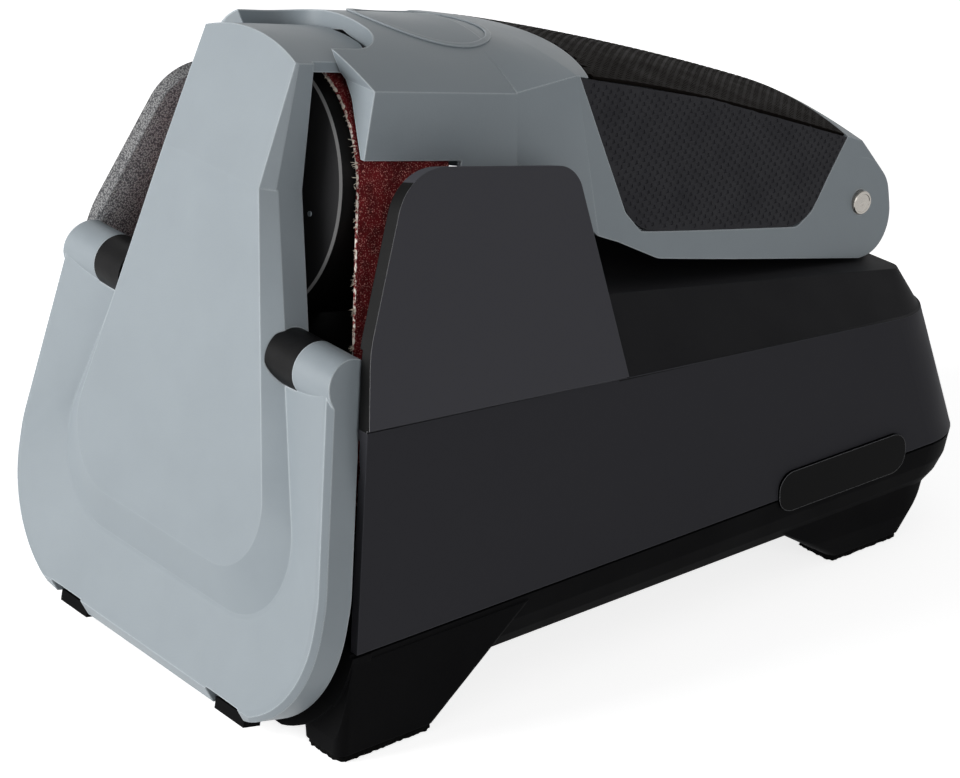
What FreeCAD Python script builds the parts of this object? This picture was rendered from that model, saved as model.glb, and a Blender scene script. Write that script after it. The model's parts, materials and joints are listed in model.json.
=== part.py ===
import FreeCAD, Part
import Sketcher
import math
import os

# Electric belt sharpener for kitchen knives, drawn in millimetres.
# X runs to the right seen from the front, the front faces -Y, Z is up, the floor is Z = 0.
# The cover and the drive lean back together, so they are drawn upright in a "lean" frame
# (x, depth back from the cover's face, rise up the slope) and placed with one Placement.

V = FreeCAD.Vector
doc = FreeCAD.newDocument("BeltSharpener")
sheet = doc.addObject("Spreadsheet::Sheet", "Sizes")

DRIVING = {
    # lean frame
    "cover_lean": 12.4,
    "toe_y": -105.2,
    # front cover
    "face_step": 3.3,
    "rim_step": 2.6,
    "cover_depth": 5.4,
    "cover_wall": 2.5,
    "rim_top_half": 53.5,
    "rim_wide_half": 62.6,
    "rim_wide_rise": 42.0,
    "rim_bottom": 4.6,
    "rim_corner": 31.0,
    "face_top_half": 18.7,
    "face_top_rise": 122.0,
    "face_low_half": 42.8,
    "face_low_rise": 37.0,
    "foot_top_half": 20.6,
    "foot_low_half": 54.5,
    "foot_low_rise": 26.0,
    "tower_depth": 7.0,
    "crown_half": 17.4,
    "crown_depth": 2.3,
    "crown_rise": 152.8,
    "crown_radius": 50.0,
    "tongue_half": 17.0,
    "tongue_reach": 25.7,
    "tongue_thick": 2.2,
    "lug_depth": 3.4,
    "lug_rise": 87.8,
    "lug_radius": 6.3,
    "lug_inner": 40.0,
    "rest_inner": 29.6,
    # cover hinge
    "hinge_depth": 4.0,
    "hinge_rise": 7.6,
    "knuckle_radius": 3.2,
    "tab_inner": 27.3,
    "tab_outer": 38.8,
    "notch_clear": 0.7,
    "notch_roof": 8.6,
    "hinge_pin_radius": 1.5,
    "run_clear": 0.05,
    # housing and tray
    "body_front": 9.5,
    "housing_front": -88.7,
    "housing_lean": 5.7,
    "body_step": 1.1,
    "body_taper": 1.0,
    "skirt_bottom": 3.0,
    "skirt_corner": 28.0,
    "skirt_thick": 5.0,
    "seam_height": 26.0,
    "tray_height": 13.0,
    "tray_floor": 2.5,
    "rear_reach": 104.4,
    "rear_lean": 18.2,
    "plan_corner": 17.0,
    "wall": 2.5,
    "crease_step": 1.5,
    "crease_step_rear": 2.5,
    "crease_height": 68.9,
    "crease_fall": 5.37,
    "deck_front": -13.5,
    "deck_height": 83.1,
    "deck_fall": 10.07,
    "deck_half": 44.0,
    "deck_half_rear": 44.5,
    "deck_corner": 4.0,
    "well_half": 48.0,
    "groove_high": 0.6,
    "groove_deep": 1.0,
    "bulkhead_depth": 46.5,
    "bulkhead_thick": 2.5,
    "pad_thick": 2.0,
    # guide plates
    "plate_lean": 14.4,
    "plate_thick": 4.0,
    "rear_rest_y": -33.0,
    "rear_rest_z": 85.0,
    "rear_rest_radius": 4.0,
    "rear_rest_inner": 37.0,
    # badge plates
    "badge_length": 42.0,
    "badge_height": 10.4,
    "badge_corner": 4.5,
    "badge_y": 56.8,
    "badge_z": 27.3,
    "badge_sunk": 1.3,
    "badge_proud": 0.6,
    # hood
    "pin_y": 84.5,
    "pin_z": 82.8,
    "pin_radius": 3.0,
    "pin_half": 35.2,
    "lobe_radius": 13.5,
    "hood_rear": 10.8,
    "barrel_radius": 10.0,
    "barrel_half": 31.5,
    "stem_half": 6.4,
    "hood_wall": 2.5,
    "grip_thick": 1.2,
    "shield_half": 30.0,
    "shield_crease": 146.6,
    "shield_lip": 131.2,
    "shield_apex": 156.4,
    "shield_rear": 57.0,
    "slot_half": 18.0,
    "slot_reach": 26.9,
    # belt drive
    "pulley_rise": 118.0,
    "pulley_radius": 29.5,
    "pulley_front": 11.0,
    "pulley_rear": 41.2,
    "belt_front": 15.0,
    "belt_width": 25.4,
    "belt_thick": 0.8,
    "belt_clear": 0.3,
    "roller_x": 33.6,
    "roller_rise": 58.0,
    "roller_radius": 10.0,
    "frame_front": 43.5,
    "axle_radius": 4.0,
    "bearing_outer": 9.5,
    "bearing_width": 7.0,
    "shaft_radius": 3.0,
    "motor_radius": 18.0,
    "motor_rear": 93.0,
    "tension_turn": 60.0,
    # rear controls
    "button_z": 46.0,
    "button_x": 12.0,
    "button_pitch": 18.0,
    "button_radius": 6.0,
    "button_proud": 1.6,
    "button_travel": 1.5,
    "board_depth": 10.5,
    "inlet_x": -36.0,
    "inlet_z": 38.0,
}
for row, alias in enumerate(DRIVING, start=1):
    sheet.set("A%d" % row, alias)
    sheet.set("B%d" % row, str(DRIVING[alias]))
    sheet.setAlias("B%d" % row, alias)
doc.recompute()


def size(alias):
    return float(sheet.get(alias))


NODES = []
LEAN = FreeCAD.Placement(V(0, size("toe_y"), 0), FreeCAD.Rotation(V(1, 0, 0), -size("cover_lean")))
BIG = 400.0


def solid(label, shape, placement=None):
    """Add a finished shape to the document as one named sub-part."""
    node = doc.addObject("Part::Feature", label)
    node.Shape = shape
    if placement is not None:
        node.Placement = placement.multiply(shape.Placement)
    NODES.append(node)
    return node


def leaned(shape):
    """The same shape carried from the lean frame into the part's frame."""
    moved = shape.copy()
    moved.Placement = LEAN.multiply(shape.Placement)
    return moved


def rounded_wire(corners):
    """Closed wire through (point, radius) corners, each radius a tangent arc."""
    joins = []
    count = len(corners)
    for i in range(count):
        point, radius = corners[i]
        back = corners[i - 1][0] - point
        ahead = corners[(i + 1) % count][0] - point
        if radius <= 0:
            joins.append((point, None, point))
            continue
        back.normalize()
        ahead.normalize()
        half = back.getAngle(ahead) / 2
        reach = radius / math.tan(half)
        inward = back + ahead
        inward.normalize()
        middle = point + inward * (radius / math.sin(half) - radius)
        joins.append((point + back * reach, middle, point + ahead * reach))
    edges = []
    for i in range(count):
        enter, middle, leave = joins[i]
        if middle is not None:
            edges.append(Part.Arc(enter, middle, leave).toShape())
        following = joins[(i + 1) % count][0]
        if (following - leave).Length > 1e-6:
            edges.append(Part.makeLine(leave, following))
    return Part.Wire(edges)


def outline(half, depth):
    """Symmetric outline in the lean frame from its right half, top to bottom, as (x, rise, radius)."""
    right = [(V(x, depth, rise), radius) for x, rise, radius in half]
    left = [(V(-x, depth, rise), radius) for x, rise, radius in reversed(half)]
    return rounded_wire(right + left)


def prism(half, start, end):
    return Part.Face(outline(half, start)).extrude(V(0, end - start, 0))


def frustum(first, start, second, end):
    return Part.makeLoft([outline(first, start), outline(second, end)], True, True)


def block(low, high):
    return Part.makeBox(high[0] - low[0], high[1] - low[1], high[2] - low[2], V(*low))


def rod(start, direction, radius, length):
    return Part.makeCylinder(radius, length, V(*start), V(*direction))


def pair(shape):
    """A shape and its mirror image across the middle plane, as one shape."""
    return Part.makeCompound([shape, shape.mirror(V(0, 0, 0), V(1, 0, 0))])


def mirrored(shape):
    return shape.mirror(V(0, 0, 0), V(1, 0, 0))


def loop(points):
    return Part.makePolygon(points + [points[0]])


def slab(points, direction):
    """A flat outline of (point, radius) corners pushed along a direction."""
    return Part.Face(rounded_wire(points)).extrude(direction)


# Front cover
FACE = size("face_step")
RIM = size("rim_step")
DEPTH = size("cover_depth")
WALL = size("cover_wall")
LUG_Q = size("lug_depth")
LUG_V = size("lug_rise")
LUG_R = size("lug_radius")
CROWN_V = size("crown_rise")
CROWN_R = size("crown_radius")


def rim_side(rise):
    """Half width of the cover on its straight upper side at a rise."""
    share = (rise - size("rim_wide_rise")) / (LUG_V - size("rim_wide_rise"))
    return size("rim_wide_half") + share * (size("rim_top_half") - size("rim_wide_half"))


def rim_half(inset, top):
    """Right half of the cover's outer outline up to a rise, drawn in by an inset."""
    return [
        (rim_side(top) - inset, top, 0),
        (size("rim_wide_half") - inset, size("rim_wide_rise"), 25),
        (size("rim_wide_half") - inset, size("rim_bottom") + inset, size("rim_corner") - inset),
    ]


def tapered_half(top_half, top_rise, low_half, low_rise, corner, inset=0.0):
    return [(top_half - inset, top_rise, 0), (low_half - inset, low_rise + inset, corner)]


FACE_HALF = (size("face_top_half"), size("face_top_rise"), size("face_low_half"), size("face_low_rise"), 16)
FOOT_HALF = (size("foot_top_half"), size("face_top_rise"), size("foot_low_half"), size("foot_low_rise"), 20)


def slope_at(profile, rise):
    """Half width of a tapered outline at a rise."""
    top_half, top_rise, low_half, low_rise, corner = profile
    return top_half + (low_half - top_half) * (top_rise - rise) / (top_rise - low_rise)


def tower_section(rise, inset, wall):
    """Six-sided section through the tower above the facet crease."""
    share = (rise - size("face_top_rise")) / (CROWN_V - 3.1 - size("face_top_rise"))
    front = size("face_top_half") + share * (size("crown_half") - size("face_top_half")) - inset
    side = size("foot_top_half") + share * (size("crown_half") + 0.4 - size("foot_top_half")) - inset
    depth = -FACE + share * (size("crown_depth") + FACE) + wall
    shoulder = share * 3.0 + wall
    back = size("tower_depth") + wall
    half = [(front, depth), (side, shoulder), (side, back)]
    points = [V(x, q, rise) for x, q in half] + [V(-x, q, rise) for x, q in reversed(half)]
    return loop(points)


edge_chamfer = 1.3
cover = prism(rim_half(0, LUG_V), -RIM + edge_chamfer, DEPTH)
cover = cover.fuse(frustum(rim_half(edge_chamfer, LUG_V), -RIM, rim_half(0, LUG_V), -RIM + edge_chamfer))
dish_top = LUG_V + 8
dish = frustum(
    [(size("rim_top_half") - 3.6, dish_top, 0),
     (size("rim_wide_half") - 2.6, size("rim_wide_rise"), 0),
     (size("rim_wide_half") - 2.6, size("rim_bottom") + 2.6, size("rim_corner") - 2.6)],
    -RIM - 0.01,
    [(slope_at(FOOT_HALF, dish_top), dish_top, 0),
     (slope_at(FOOT_HALF, 62), 62, 0),
     (size("foot_low_half"), size("foot_low_rise"), 20)],
    0.3)
cover = cover.cut(dish)
bevel_low = 4.3
bevel_top = 8.4
low_wedge = loop([
    V(-80, -RIM, bevel_top), V(-80, 0.6, bevel_low), V(-80, -9, bevel_low), V(-80, -9, bevel_top)])
cover = cover.cut(Part.Face(low_wedge).extrude(V(160, 0, 0)))
boss = frustum(tapered_half(*FACE_HALF), -FACE, tapered_half(*FOOT_HALF), 0.6)
cover = cover.fuse(boss)
tower_low = 80.0
tower_side = [
    (size("foot_top_half"), size("face_top_rise"), 0),
    (slope_at(FOOT_HALF, tower_low), tower_low, 0),
]
cover = cover.fuse(prism(tower_side, 0.6, size("tower_depth")))
tower_top = 156.0
tower_ends = [tower_section(rise, 0, 0) for rise in (size("face_top_rise"), tower_top)]
tower = Part.makeLoft(tower_ends, True, True)
crown = rod((0, -20, CROWN_V - CROWN_R), (0, 1, 0), CROWN_R, 80)
cover = cover.fuse(tower.common(crown))
lug = rod((size("lug_inner"), LUG_Q, LUG_V), (1, 0, 0), LUG_R, 20)
lug = lug.common(prism(rim_half(0, LUG_V + LUG_R), -RIM - LUG_R, DEPTH))
cover = cover.fuse([lug, mirrored(lug)])

# hollow back: the shell, the boss and the tower
pocket_top = LUG_V - LUG_R - 1.2
shell_pocket = [
    (size("rim_top_half") - WALL + 1.2, pocket_top, 0),
    (size("rim_wide_half") - WALL, size("rim_wide_rise"), 22),
    (size("rim_wide_half") - WALL, size("rim_bottom") + WALL, size("rim_corner") - WALL),
]
cover = cover.cut(prism(shell_pocket, 0.3 + WALL, DEPTH + 5))
boss_pocket = tapered_half(*FACE_HALF, inset=1.8)
cover = cover.cut(prism(boss_pocket, -FACE + WALL, DEPTH + 5))
tower_void = Part.makeLoft(
    [tower_section(size("face_top_rise") - 0.5, 1.9, WALL), tower_section(147.4, 1.9, WALL)], True, True)
cover = cover.cut(tower_void)
tongue_plan = [
    (V(-size("tongue_half"), size("crown_depth") + 2, 130), 0),
    (V(size("tongue_half"), size("crown_depth") + 2, 130), 0),
    (V(size("tongue_half"), size("tongue_reach"), 130), 10),
    (V(-size("tongue_half"), size("tongue_reach"), 130), 10),
]
tongue = slab(tongue_plan, V(0, 0, 30)).common(crown)
tongue = tongue.cut(rod((0, -20, CROWN_V - CROWN_R), (0, 1, 0), CROWN_R - size("tongue_thick"), 80))
cover = cover.fuse(tongue)

# blade rests sit across the gaps between the tower and the lugs
rest_length = size("lug_inner") - size("rest_inner")
blade_rest = rod((size("rest_inner"), LUG_Q, LUG_V), (1, 0, 0), LUG_R, rest_length)
cover = cover.cut([blade_rest, mirrored(blade_rest)])

# hinge blocks at the foot of the cover, with the tab notches and the pin bores
HINGE_Q = size("hinge_depth")
HINGE_V = size("hinge_rise")
KNUCKLE = size("knuckle_radius")
TAB_RISE = 2.4
hinge_back = HINGE_Q + KNUCKLE
hinge_block = block((24, 0.6, 3.0), (44.5, hinge_back, 14.6))
hinge_block = hinge_block.common(prism(rim_half(0.4, LUG_V), -RIM, hinge_back))
cover = cover.fuse([hinge_block, mirrored(hinge_block)])
notch_inner = size("tab_inner") - size("notch_clear")
notch_outer = size("tab_outer") + size("notch_clear")
sweep_radius = KNUCKLE + 0.4
notch = rod((notch_inner, HINGE_Q, HINGE_V), (1, 0, 0), sweep_radius, notch_outer - notch_inner)
notch = notch.fuse(block((notch_inner, -6, 0), (notch_outer, HINGE_Q, size("notch_roof"))))
notch = notch.fuse(block((notch_inner, HINGE_Q, 0), (notch_outer, DEPTH + 5, HINGE_V + TAB_RISE + 0.5)))
pin_inner = 24.8
pin_length = 16.4
pin_end_gap = 0.3
bore_radius = size("hinge_pin_radius") + size("run_clear")
bore_length = pin_length + 2 * pin_end_gap
pin_bore = rod((pin_inner - pin_end_gap, HINGE_Q, HINGE_V), (1, 0, 0), bore_radius, bore_length)
cover = cover.cut([notch, mirrored(notch), pin_bore, mirrored(pin_bore)])
solid("front_cover", cover.removeSplitter(), LEAN)
solid("blade_rest_right", blade_rest, LEAN)
solid("blade_rest_left", mirrored(blade_rest), LEAN)
cover_pin = rod((pin_inner, HINGE_Q, HINGE_V), (1, 0, 0), size("hinge_pin_radius"), pin_length)
solid("cover_hinge_pins", pair(cover_pin), LEAN)

# Housing
SEAM = size("seam_height")
REAR = size("rear_reach")
REAR_TAN = math.tan(math.radians(size("rear_lean")))
CREASE_TAN = math.tan(math.radians(size("crease_fall")))
DECK_TAN = math.tan(math.radians(size("deck_fall")))
SHELL = size("wall")
FRONT_Y = -140.0
BODY_HALF = size("rim_wide_half") - size("body_step")
BODY_HALF_REAR = BODY_HALF - size("body_taper")
CREASE_HALF = BODY_HALF - size("crease_step")
CREASE_HALF_REAR = BODY_HALF_REAR - size("crease_step_rear")


def crease_z(y):
    return size("crease_height") - CREASE_TAN * y


def deck_z(y):
    return size("deck_height") - DECK_TAN * y


def crease_x(y):
    return CREASE_HALF + (CREASE_HALF_REAR - CREASE_HALF) * (y + 75.5) / 159.5


def deck_x(y):
    return size("deck_half") + (size("deck_half_rear") - size("deck_half")) * (y + 2.3) / 95.8


def side_x(y):
    """Half width of the body at the seam."""
    return BODY_HALF + (BODY_HALF_REAR - BODY_HALF) * (y - FRONT_Y) / (REAR - FRONT_Y)


def front_y(z):
    """The housing's front edge, which leans less than the cover."""
    return size("housing_front") + (z - SEAM) * math.tan(math.radians(size("housing_lean")))


def rear_y(z):
    return REAR - (z - SEAM) * REAR_TAN


def plan_wire(front_half, rear_half, rear, z, corner):
    return rounded_wire([
        (V(-front_half, FRONT_Y, z), 0),
        (V(front_half, FRONT_Y, z), 0),
        (V(rear_half, rear, z), corner),
        (V(-rear_half, rear, z), corner),
    ])


def lower_body(inset, start, top):
    """The leaning-walled lower housing, drawn in by an inset."""
    share = (top - SEAM) / 54.0
    corner = size("plan_corner") - inset
    low_share = (start - SEAM) / 54.0
    wires = []
    for height, part in ((start, low_share), (top, share)):
        front_half = BODY_HALF - 1.7 * part - inset
        rear_half = BODY_HALF_REAR - 3.0 * part - inset
        wires.append(plan_wire(front_half, rear_half, rear_y(height) - inset, height, corner))
    return Part.makeLoft(wires, True, True)


def above(height_at, drop):
    """Everything above a sloping plane, for trimming."""
    near = V(-100, -200, height_at(-200) - drop)
    far = V(-100, 200, height_at(200) - drop)
    return Part.Face(loop([near, far, V(-100, 200, BIG), V(-100, -200, BIG)])).extrude(V(200, 0, 0))


def upper_body(inset, drop):
    """The raised deck behind the guide plates with its sloping shoulders."""
    front = size("deck_front") + inset
    low_rear = rear_y(crease_z(92)) - inset
    high_rear = rear_y(deck_z(92)) - inset
    low = [V(crease_x(y) - inset * 1.2, y, crease_z(y) - drop - 0.4) for y in (front, low_rear)]
    high = [V(deck_x(y) - inset * 0.6, y, deck_z(y) - drop) for y in (front, high_rear)]
    wires = []
    for points, radius in ((low, size("plan_corner")), (high, size("deck_corner"))):
        right_front, right_rear = points
        corner = radius - inset
        left_rear = V(-right_rear.x, right_rear.y, right_rear.z)
        left_front = V(-right_front.x, right_front.y, right_front.z)
        corners = [(right_front, 0), (right_rear, corner), (left_rear, corner), (left_front, 0)]
        wires.append(rounded_wire(corners))
    return Part.makeLoft(wires, True, True)


def ahead(depth):
    """Everything in front of a depth in the lean frame, for trimming."""
    return leaned(block((-100, -120, -60), (100, depth, 240)))


cover_room = leaned(prism(rim_half(-0.8, LUG_V + LUG_R + 2), -RIM - LUG_R, DEPTH + 0.6))
ahead_of_housing = slab([(V(-100, y, z), 0) for y, z in (
    (FRONT_Y - 20, 0), (front_y(0), 0), (front_y(140), 140), (FRONT_Y - 20, 140))], V(200, 0, 0))
housing_solid = lower_body(0, SEAM, 80).cut(above(crease_z, 0)).fuse(upper_body(0, 0))
housing_solid = housing_solid.cut([ahead_of_housing, cover_room])
inner_low = lower_body(SHELL, SEAM - 1, 80).cut(above(crease_z, SHELL))
inner_high = upper_body(SHELL, SHELL)
housing = housing_solid.cut(inner_low).cut(inner_high)
bulkhead_back = size("bulkhead_depth") + size("bulkhead_thick")
bulkhead = leaned(block((-70, size("bulkhead_depth"), 10), (70, bulkhead_back, 110)))
bulkhead = bulkhead.common(housing_solid)
housing = housing.fuse(bulkhead)
well = leaned(block((-size("well_half"), 0, 60), (size("well_half"), size("bulkhead_depth"), 110)))
housing = housing.cut(well)

# hinge barrel for the hood
PIN_Y = size("pin_y")
PIN_Z = size("pin_z")
barrel_half = size("barrel_half")
barrel = rod((-barrel_half, PIN_Y, PIN_Z), (1, 0, 0), size("barrel_radius"), 2 * barrel_half)
stem_half = size("stem_half")
stem_low = deck_z(PIN_Y + stem_half) - 1.0
stem = block((-barrel_half, PIN_Y - stem_half, stem_low), (barrel_half, PIN_Y + stem_half, PIN_Z))
housing = housing.fuse([barrel, stem])
hood_pin = rod((-size("pin_half"), PIN_Y, PIN_Z), (1, 0, 0), size("pin_radius"), 2 * size("pin_half"))
housing = housing.cut(hood_pin)

# rear wall frame for the controls: X along the wall, Z out of it
BUTTON_Z = size("button_z")
WALL_TURN = FreeCAD.Rotation(V(1, 0, 0), -90 + size("rear_lean"))


def wall_place(x, z):
    return FreeCAD.Placement(V(x, rear_y(z), z), WALL_TURN)


def on_wall(shape, x, z):
    moved = shape.copy()
    moved.Placement = wall_place(x, z).multiply(shape.Placement)
    return moved


BUTTON_X = size("button_x")
BUTTON_XS = [BUTTON_X - size("button_pitch"), BUTTON_X, BUTTON_X + size("button_pitch")]
button_bore = rod((0, 0, -8), (0, 0, 1), size("button_radius") + 0.3, 16)
housing = housing.cut([on_wall(button_bore, x, BUTTON_Z) for x in BUTTON_XS])
board_post = rod((0, 0, -size("board_depth")), (0, 0, 1), 2.5, size("board_depth") - 1.0)
board_post_xs = (BUTTON_X - 28.0, BUTTON_X + 28.0)
housing = housing.fuse([on_wall(board_post, x, BUTTON_Z) for x in board_post_xs])
inlet_half = (11.0, 6.5)
inlet_hole = block((-inlet_half[0], -inlet_half[1], -20), (inlet_half[0], inlet_half[1], 5))
housing = housing.cut(on_wall(inlet_hole, size("inlet_x"), size("inlet_z")))

# badge recesses across the seam
badge_wall = side_x(size("badge_y"))
badge_long = size("badge_length") / 2
badge_tall = size("badge_height") / 2
badge = block(
    (badge_wall - size("badge_sunk"), size("badge_y") - badge_long, size("badge_z") - badge_tall),
    (badge_wall + size("badge_proud"), size("badge_y") + badge_long, size("badge_z") + badge_tall))
badge_corners = [edge for edge in badge.Edges if edge.BoundBox.XLength > 1.0]
badge = badge.makeFillet(size("badge_corner"), badge_corners)
housing = housing.cut([badge, mirrored(badge)])

# holes for the motor's shaft and the frame screws
ROLLER_X = size("roller_x")
ROLLER_V = size("roller_rise")
SCREWS = [(-40.0, 78.0), (40.0, 78.0), (-14.0, 40.0), (14.0, 40.0)]
frame_front = size("frame_front")
shaft_hole = rod((ROLLER_X, frame_front - 5, ROLLER_V), (0, 1, 0), 7.0, 20)
screw_holes = [rod((x, frame_front - 2, v), (0, 1, 0), 1.5, 8) for x, v in SCREWS]
housing = housing.cut([leaned(shaft_hole)] + [leaned(hole) for hole in screw_holes])
solid("body_housing", housing.removeSplitter())

# Base tray with its feet and hinge tabs
FLOOR = size("tray_height")
# how far the tray's rounded lower edge is drawn in, as (height, draw)
TRAY_DRAW = [(FLOOR, 3.8), (16.0, 2.1), (20.0, 0.8), (SEAM, 0.0)]


def tray_draw(height):
    for (low, low_draw), (high, high_draw) in zip(TRAY_DRAW, TRAY_DRAW[1:]):
        if height <= high or high == SEAM:
            return low_draw + (high_draw - low_draw) * (height - low) / (high - low)


def tray_body(inset, heights):
    """The tray's outside through a few heights, drawn in by an inset."""
    wires = []
    for height in heights:
        draw = inset + tray_draw(height)
        corner = size("plan_corner") - inset
        wires.append(plan_wire(BODY_HALF - draw, BODY_HALF_REAR - draw, REAR - draw, height, corner))
    return Part.makeLoft(wires, True, True)


def foot(low, high):
    """Tapered foot between a bottom and a top rectangle given as (x0, x1, y0, y1, z)."""
    wires = []
    for x0, x1, y0, y1, z in (low, high):
        wires.append(rounded_wire([(V(x, y, z), 2.5) for x, y in ((x0, y0), (x1, y0), (x1, y1), (x0, y1))]))
    return Part.makeLoft(wires, True, True)


PAD = size("pad_thick")
FOOT_TOP = FLOOR + 2.0
foot_out = BODY_HALF - 0.3
rear_foot_out = BODY_HALF_REAR - 3.5
FRONT_FOOT = (foot_out - 14.2, foot_out, -94.0, -67.0, PAD)
REAR_FOOT = (rear_foot_out - 14.0, rear_foot_out, 58.5, 82.5, PAD)
front_foot = foot(FRONT_FOOT, (foot_out - 18.4, foot_out, -92.3, -39.3, SEAM - 2.0))
front_foot = front_foot.cut(ahead(size("body_front") + 0.5))
rear_foot = foot(REAR_FOOT, (rear_foot_out - 16.5, rear_foot_out + 1.6, 39.0, 91.0, FOOT_TOP))
foot_plan = Part.Face(plan_wire(BODY_HALF - 3, BODY_HALF_REAR - 3, REAR - 5, 0, size("plan_corner")))
rear_foot = rear_foot.common(foot_plan.extrude(V(0, 0, SEAM)))
tray = tray_body(0, [height for height, draw in TRAY_DRAW])
skirt_half = [(BODY_HALF, LUG_V, 0), (BODY_HALF, size("skirt_bottom"), size("skirt_corner"))]
skirt = leaned(prism(skirt_half, size("body_front"), size("body_front") + size("skirt_thick")))
skirt = skirt.common(block((-80, -140, 1.8), (80, 0, SEAM)))
tray = tray.cut(ahead(size("body_front"))).fuse(skirt)
tray = tray.fuse([front_foot, mirrored(front_foot), rear_foot, mirrored(rear_foot)])
tray_room = tray_body(SHELL, (FLOOR + size("tray_floor"), 20.0, SEAM + 1))
tray = tray.cut(tray_room.cut(ahead(size("body_front") + SHELL)))
groove_low = SEAM - size("groove_high")
groove_core = tray_body(size("groove_deep"), (groove_low - 1, SEAM + 1))
tray = tray.cut(tray_body(-3, (groove_low, SEAM + 0.1)).cut(groove_core))
tab_back = size("body_front") + 1.5
tab = block(
    (size("tab_inner"), HINGE_Q, HINGE_V - KNUCKLE),
    (size("tab_outer"), tab_back, HINGE_V + TAB_RISE))
tab_length = size("tab_outer") - size("tab_inner")
tab = tab.fuse(rod((size("tab_inner"), HINGE_Q, HINGE_V), (1, 0, 0), KNUCKLE, tab_length))
tab_toe = block((size("tab_inner"), 0.4, 3.4), (size("tab_outer"), HINGE_Q + 1, HINGE_V - 1.4))
tab = tab.fuse(tab_toe).cut(cover_pin)
tray = tray.fuse([leaned(tab), leaned(mirrored(tab))])
tray = tray.cut([badge, mirrored(badge)])
BASE_SCREWS = [(-34.0, -60.0), (34.0, -60.0), (-30.0, 70.0), (30.0, 70.0)]
base_screws = []
for x, y in BASE_SCREWS:
    head = rod((x, y, FLOOR - 1.6), (0, 0, 1), 3.2, 1.6)
    base_screws.append(head.fuse(rod((x, y, FLOOR), (0, 0, 1), 1.6, size("tray_floor") + 1.5)))
tray = tray.cut(base_screws)
solid("base_tray", tray.removeSplitter())
solid("base_screws", Part.makeCompound(base_screws))
solid("side_badge_right", badge)
solid("side_badge_left", mirrored(badge))

# Guide plates and rear rests
PLATE_TAN = math.tan(math.radians(size("plate_lean")))


def plate_point(y, z):
    """A point on the outer face of the right guide plate."""
    return V(CREASE_HALF - PLATE_TAN * (z - crease_z(y)), y, z)


PLATE_OUTLINE = [
    (-79.9, 93.3, 30), (-62.4, 128.2, 13), (-17.0, 118.8, 7), (-10.6, 66.0, 0), (-86.1, 66.0, 0),
]
plate_corners = [(plate_point(y, z), radius) for y, z, radius in PLATE_OUTLINE]
plate_normal = V(1, PLATE_TAN * CREASE_TAN, PLATE_TAN)
plate_normal.normalize()
plate = slab(plate_corners, plate_normal * -size("plate_thick")).cut([housing_solid, cover_room])
plate = plate.common(above(crease_z, 0))
plate_groove = block((CREASE_HALF - size("groove_deep"), FRONT_Y, 40), (100, 20, 120))
plate = plate.cut(plate_groove.cut(above(crease_z, -size("groove_high"))))
rest_place = (size("rear_rest_inner"), size("rear_rest_y"), size("rear_rest_z"))
rear_rest = rod(rest_place, (1, 0, 0), size("rear_rest_radius"), 20)
outside_corners = ((-120, 20), (-120, 180), (60, 180), (60, 20))
outside = slab([(plate_point(y, z), 0) for y, z in outside_corners], V(40, 0, 0))
rear_rest = rear_rest.cut([plate, outside])
solid("guide_plate_right", plate)
solid("guide_plate_left", mirrored(plate))
solid("rear_rest_right", rear_rest)
solid("rear_rest_left", mirrored(rear_rest))

# Hood
# sections across the hood as (y, crown height, crease half width, crease height, side lean)
HOOD_SECTIONS = [
    (-4.0, 136.4, 31.5, 132.7, 0.235),
    (37.2, 122.8, 31.5, 118.8, 0.235),
    (82.0, 105.0, 31.8, 99.7, 0.18),
    (104.0, 95.0, 31.9, 90.0, 0.16),
]
HOOD_LOW = 60.0


def hood_wire(y, crown, half, crease, lean, inset):
    """Crowned section with leaning sides, drawn in by an inset."""
    crease_at = crease - inset
    half_at = half - inset
    low = HOOD_LOW
    low_half = half + lean * (crease - low) - inset * 1.05
    right = V(half_at, y, crease_at)
    left = V(-half_at, y, crease_at)
    top = Part.Arc(left, V(0, y, crown - inset), right).toShape()
    low_right = V(low_half, y, low)
    low_left = V(-low_half, y, low)
    return Part.Wire([
        top,
        Part.makeLine(right, low_right),
        Part.makeLine(low_right, low_left),
        Part.makeLine(low_left, left),
    ])


def hood_main(inset):
    return Part.makeLoft([hood_wire(*section, inset) for section in HOOD_SECTIONS], True, False)


def flare(inset):
    """Ruled step from the narrow shields out to the hood's sides."""
    front = (-20.0, 141.3, size("shield_half"), 131.6, 0.0)
    rear = HOOD_SECTIONS[0]
    return Part.makeLoft([hood_wire(*front, inset), hood_wire(*rear, inset)], True, True)


def shield_front(start, end, inner):
    """Arched front of the hood in the lean frame."""
    half = size("shield_half")
    crease = size("shield_crease")
    apex = size("shield_apex")
    lip = size("shield_lip")
    if inner:
        points = [(28.7, lip - 12), (28.7, lip), (22.4, 143.2), (16.5, 149.6), (0, 153.2)]
        mirror_points = [(-x, v) for x, v in reversed(points[:-1])]
        section = loop([V(x, start, v) for x, v in points + mirror_points])
        return Part.Face(section).extrude(V(0, end - start, 0))
    top = Part.Arc(V(-half, start, crease), V(0, start, apex), V(half, start, crease)).toShape()
    side_corners = ((half, crease), (half, lip), (-half, lip), (-half, crease))
    sides = Part.makePolygon([V(x, start, v) for x, v in side_corners])
    return Part.Face(Part.Wire([top] + sides.Edges)).extrude(V(0, end - start, 0))


HOOD_REAR = PIN_Y + size("hood_rear")
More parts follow.
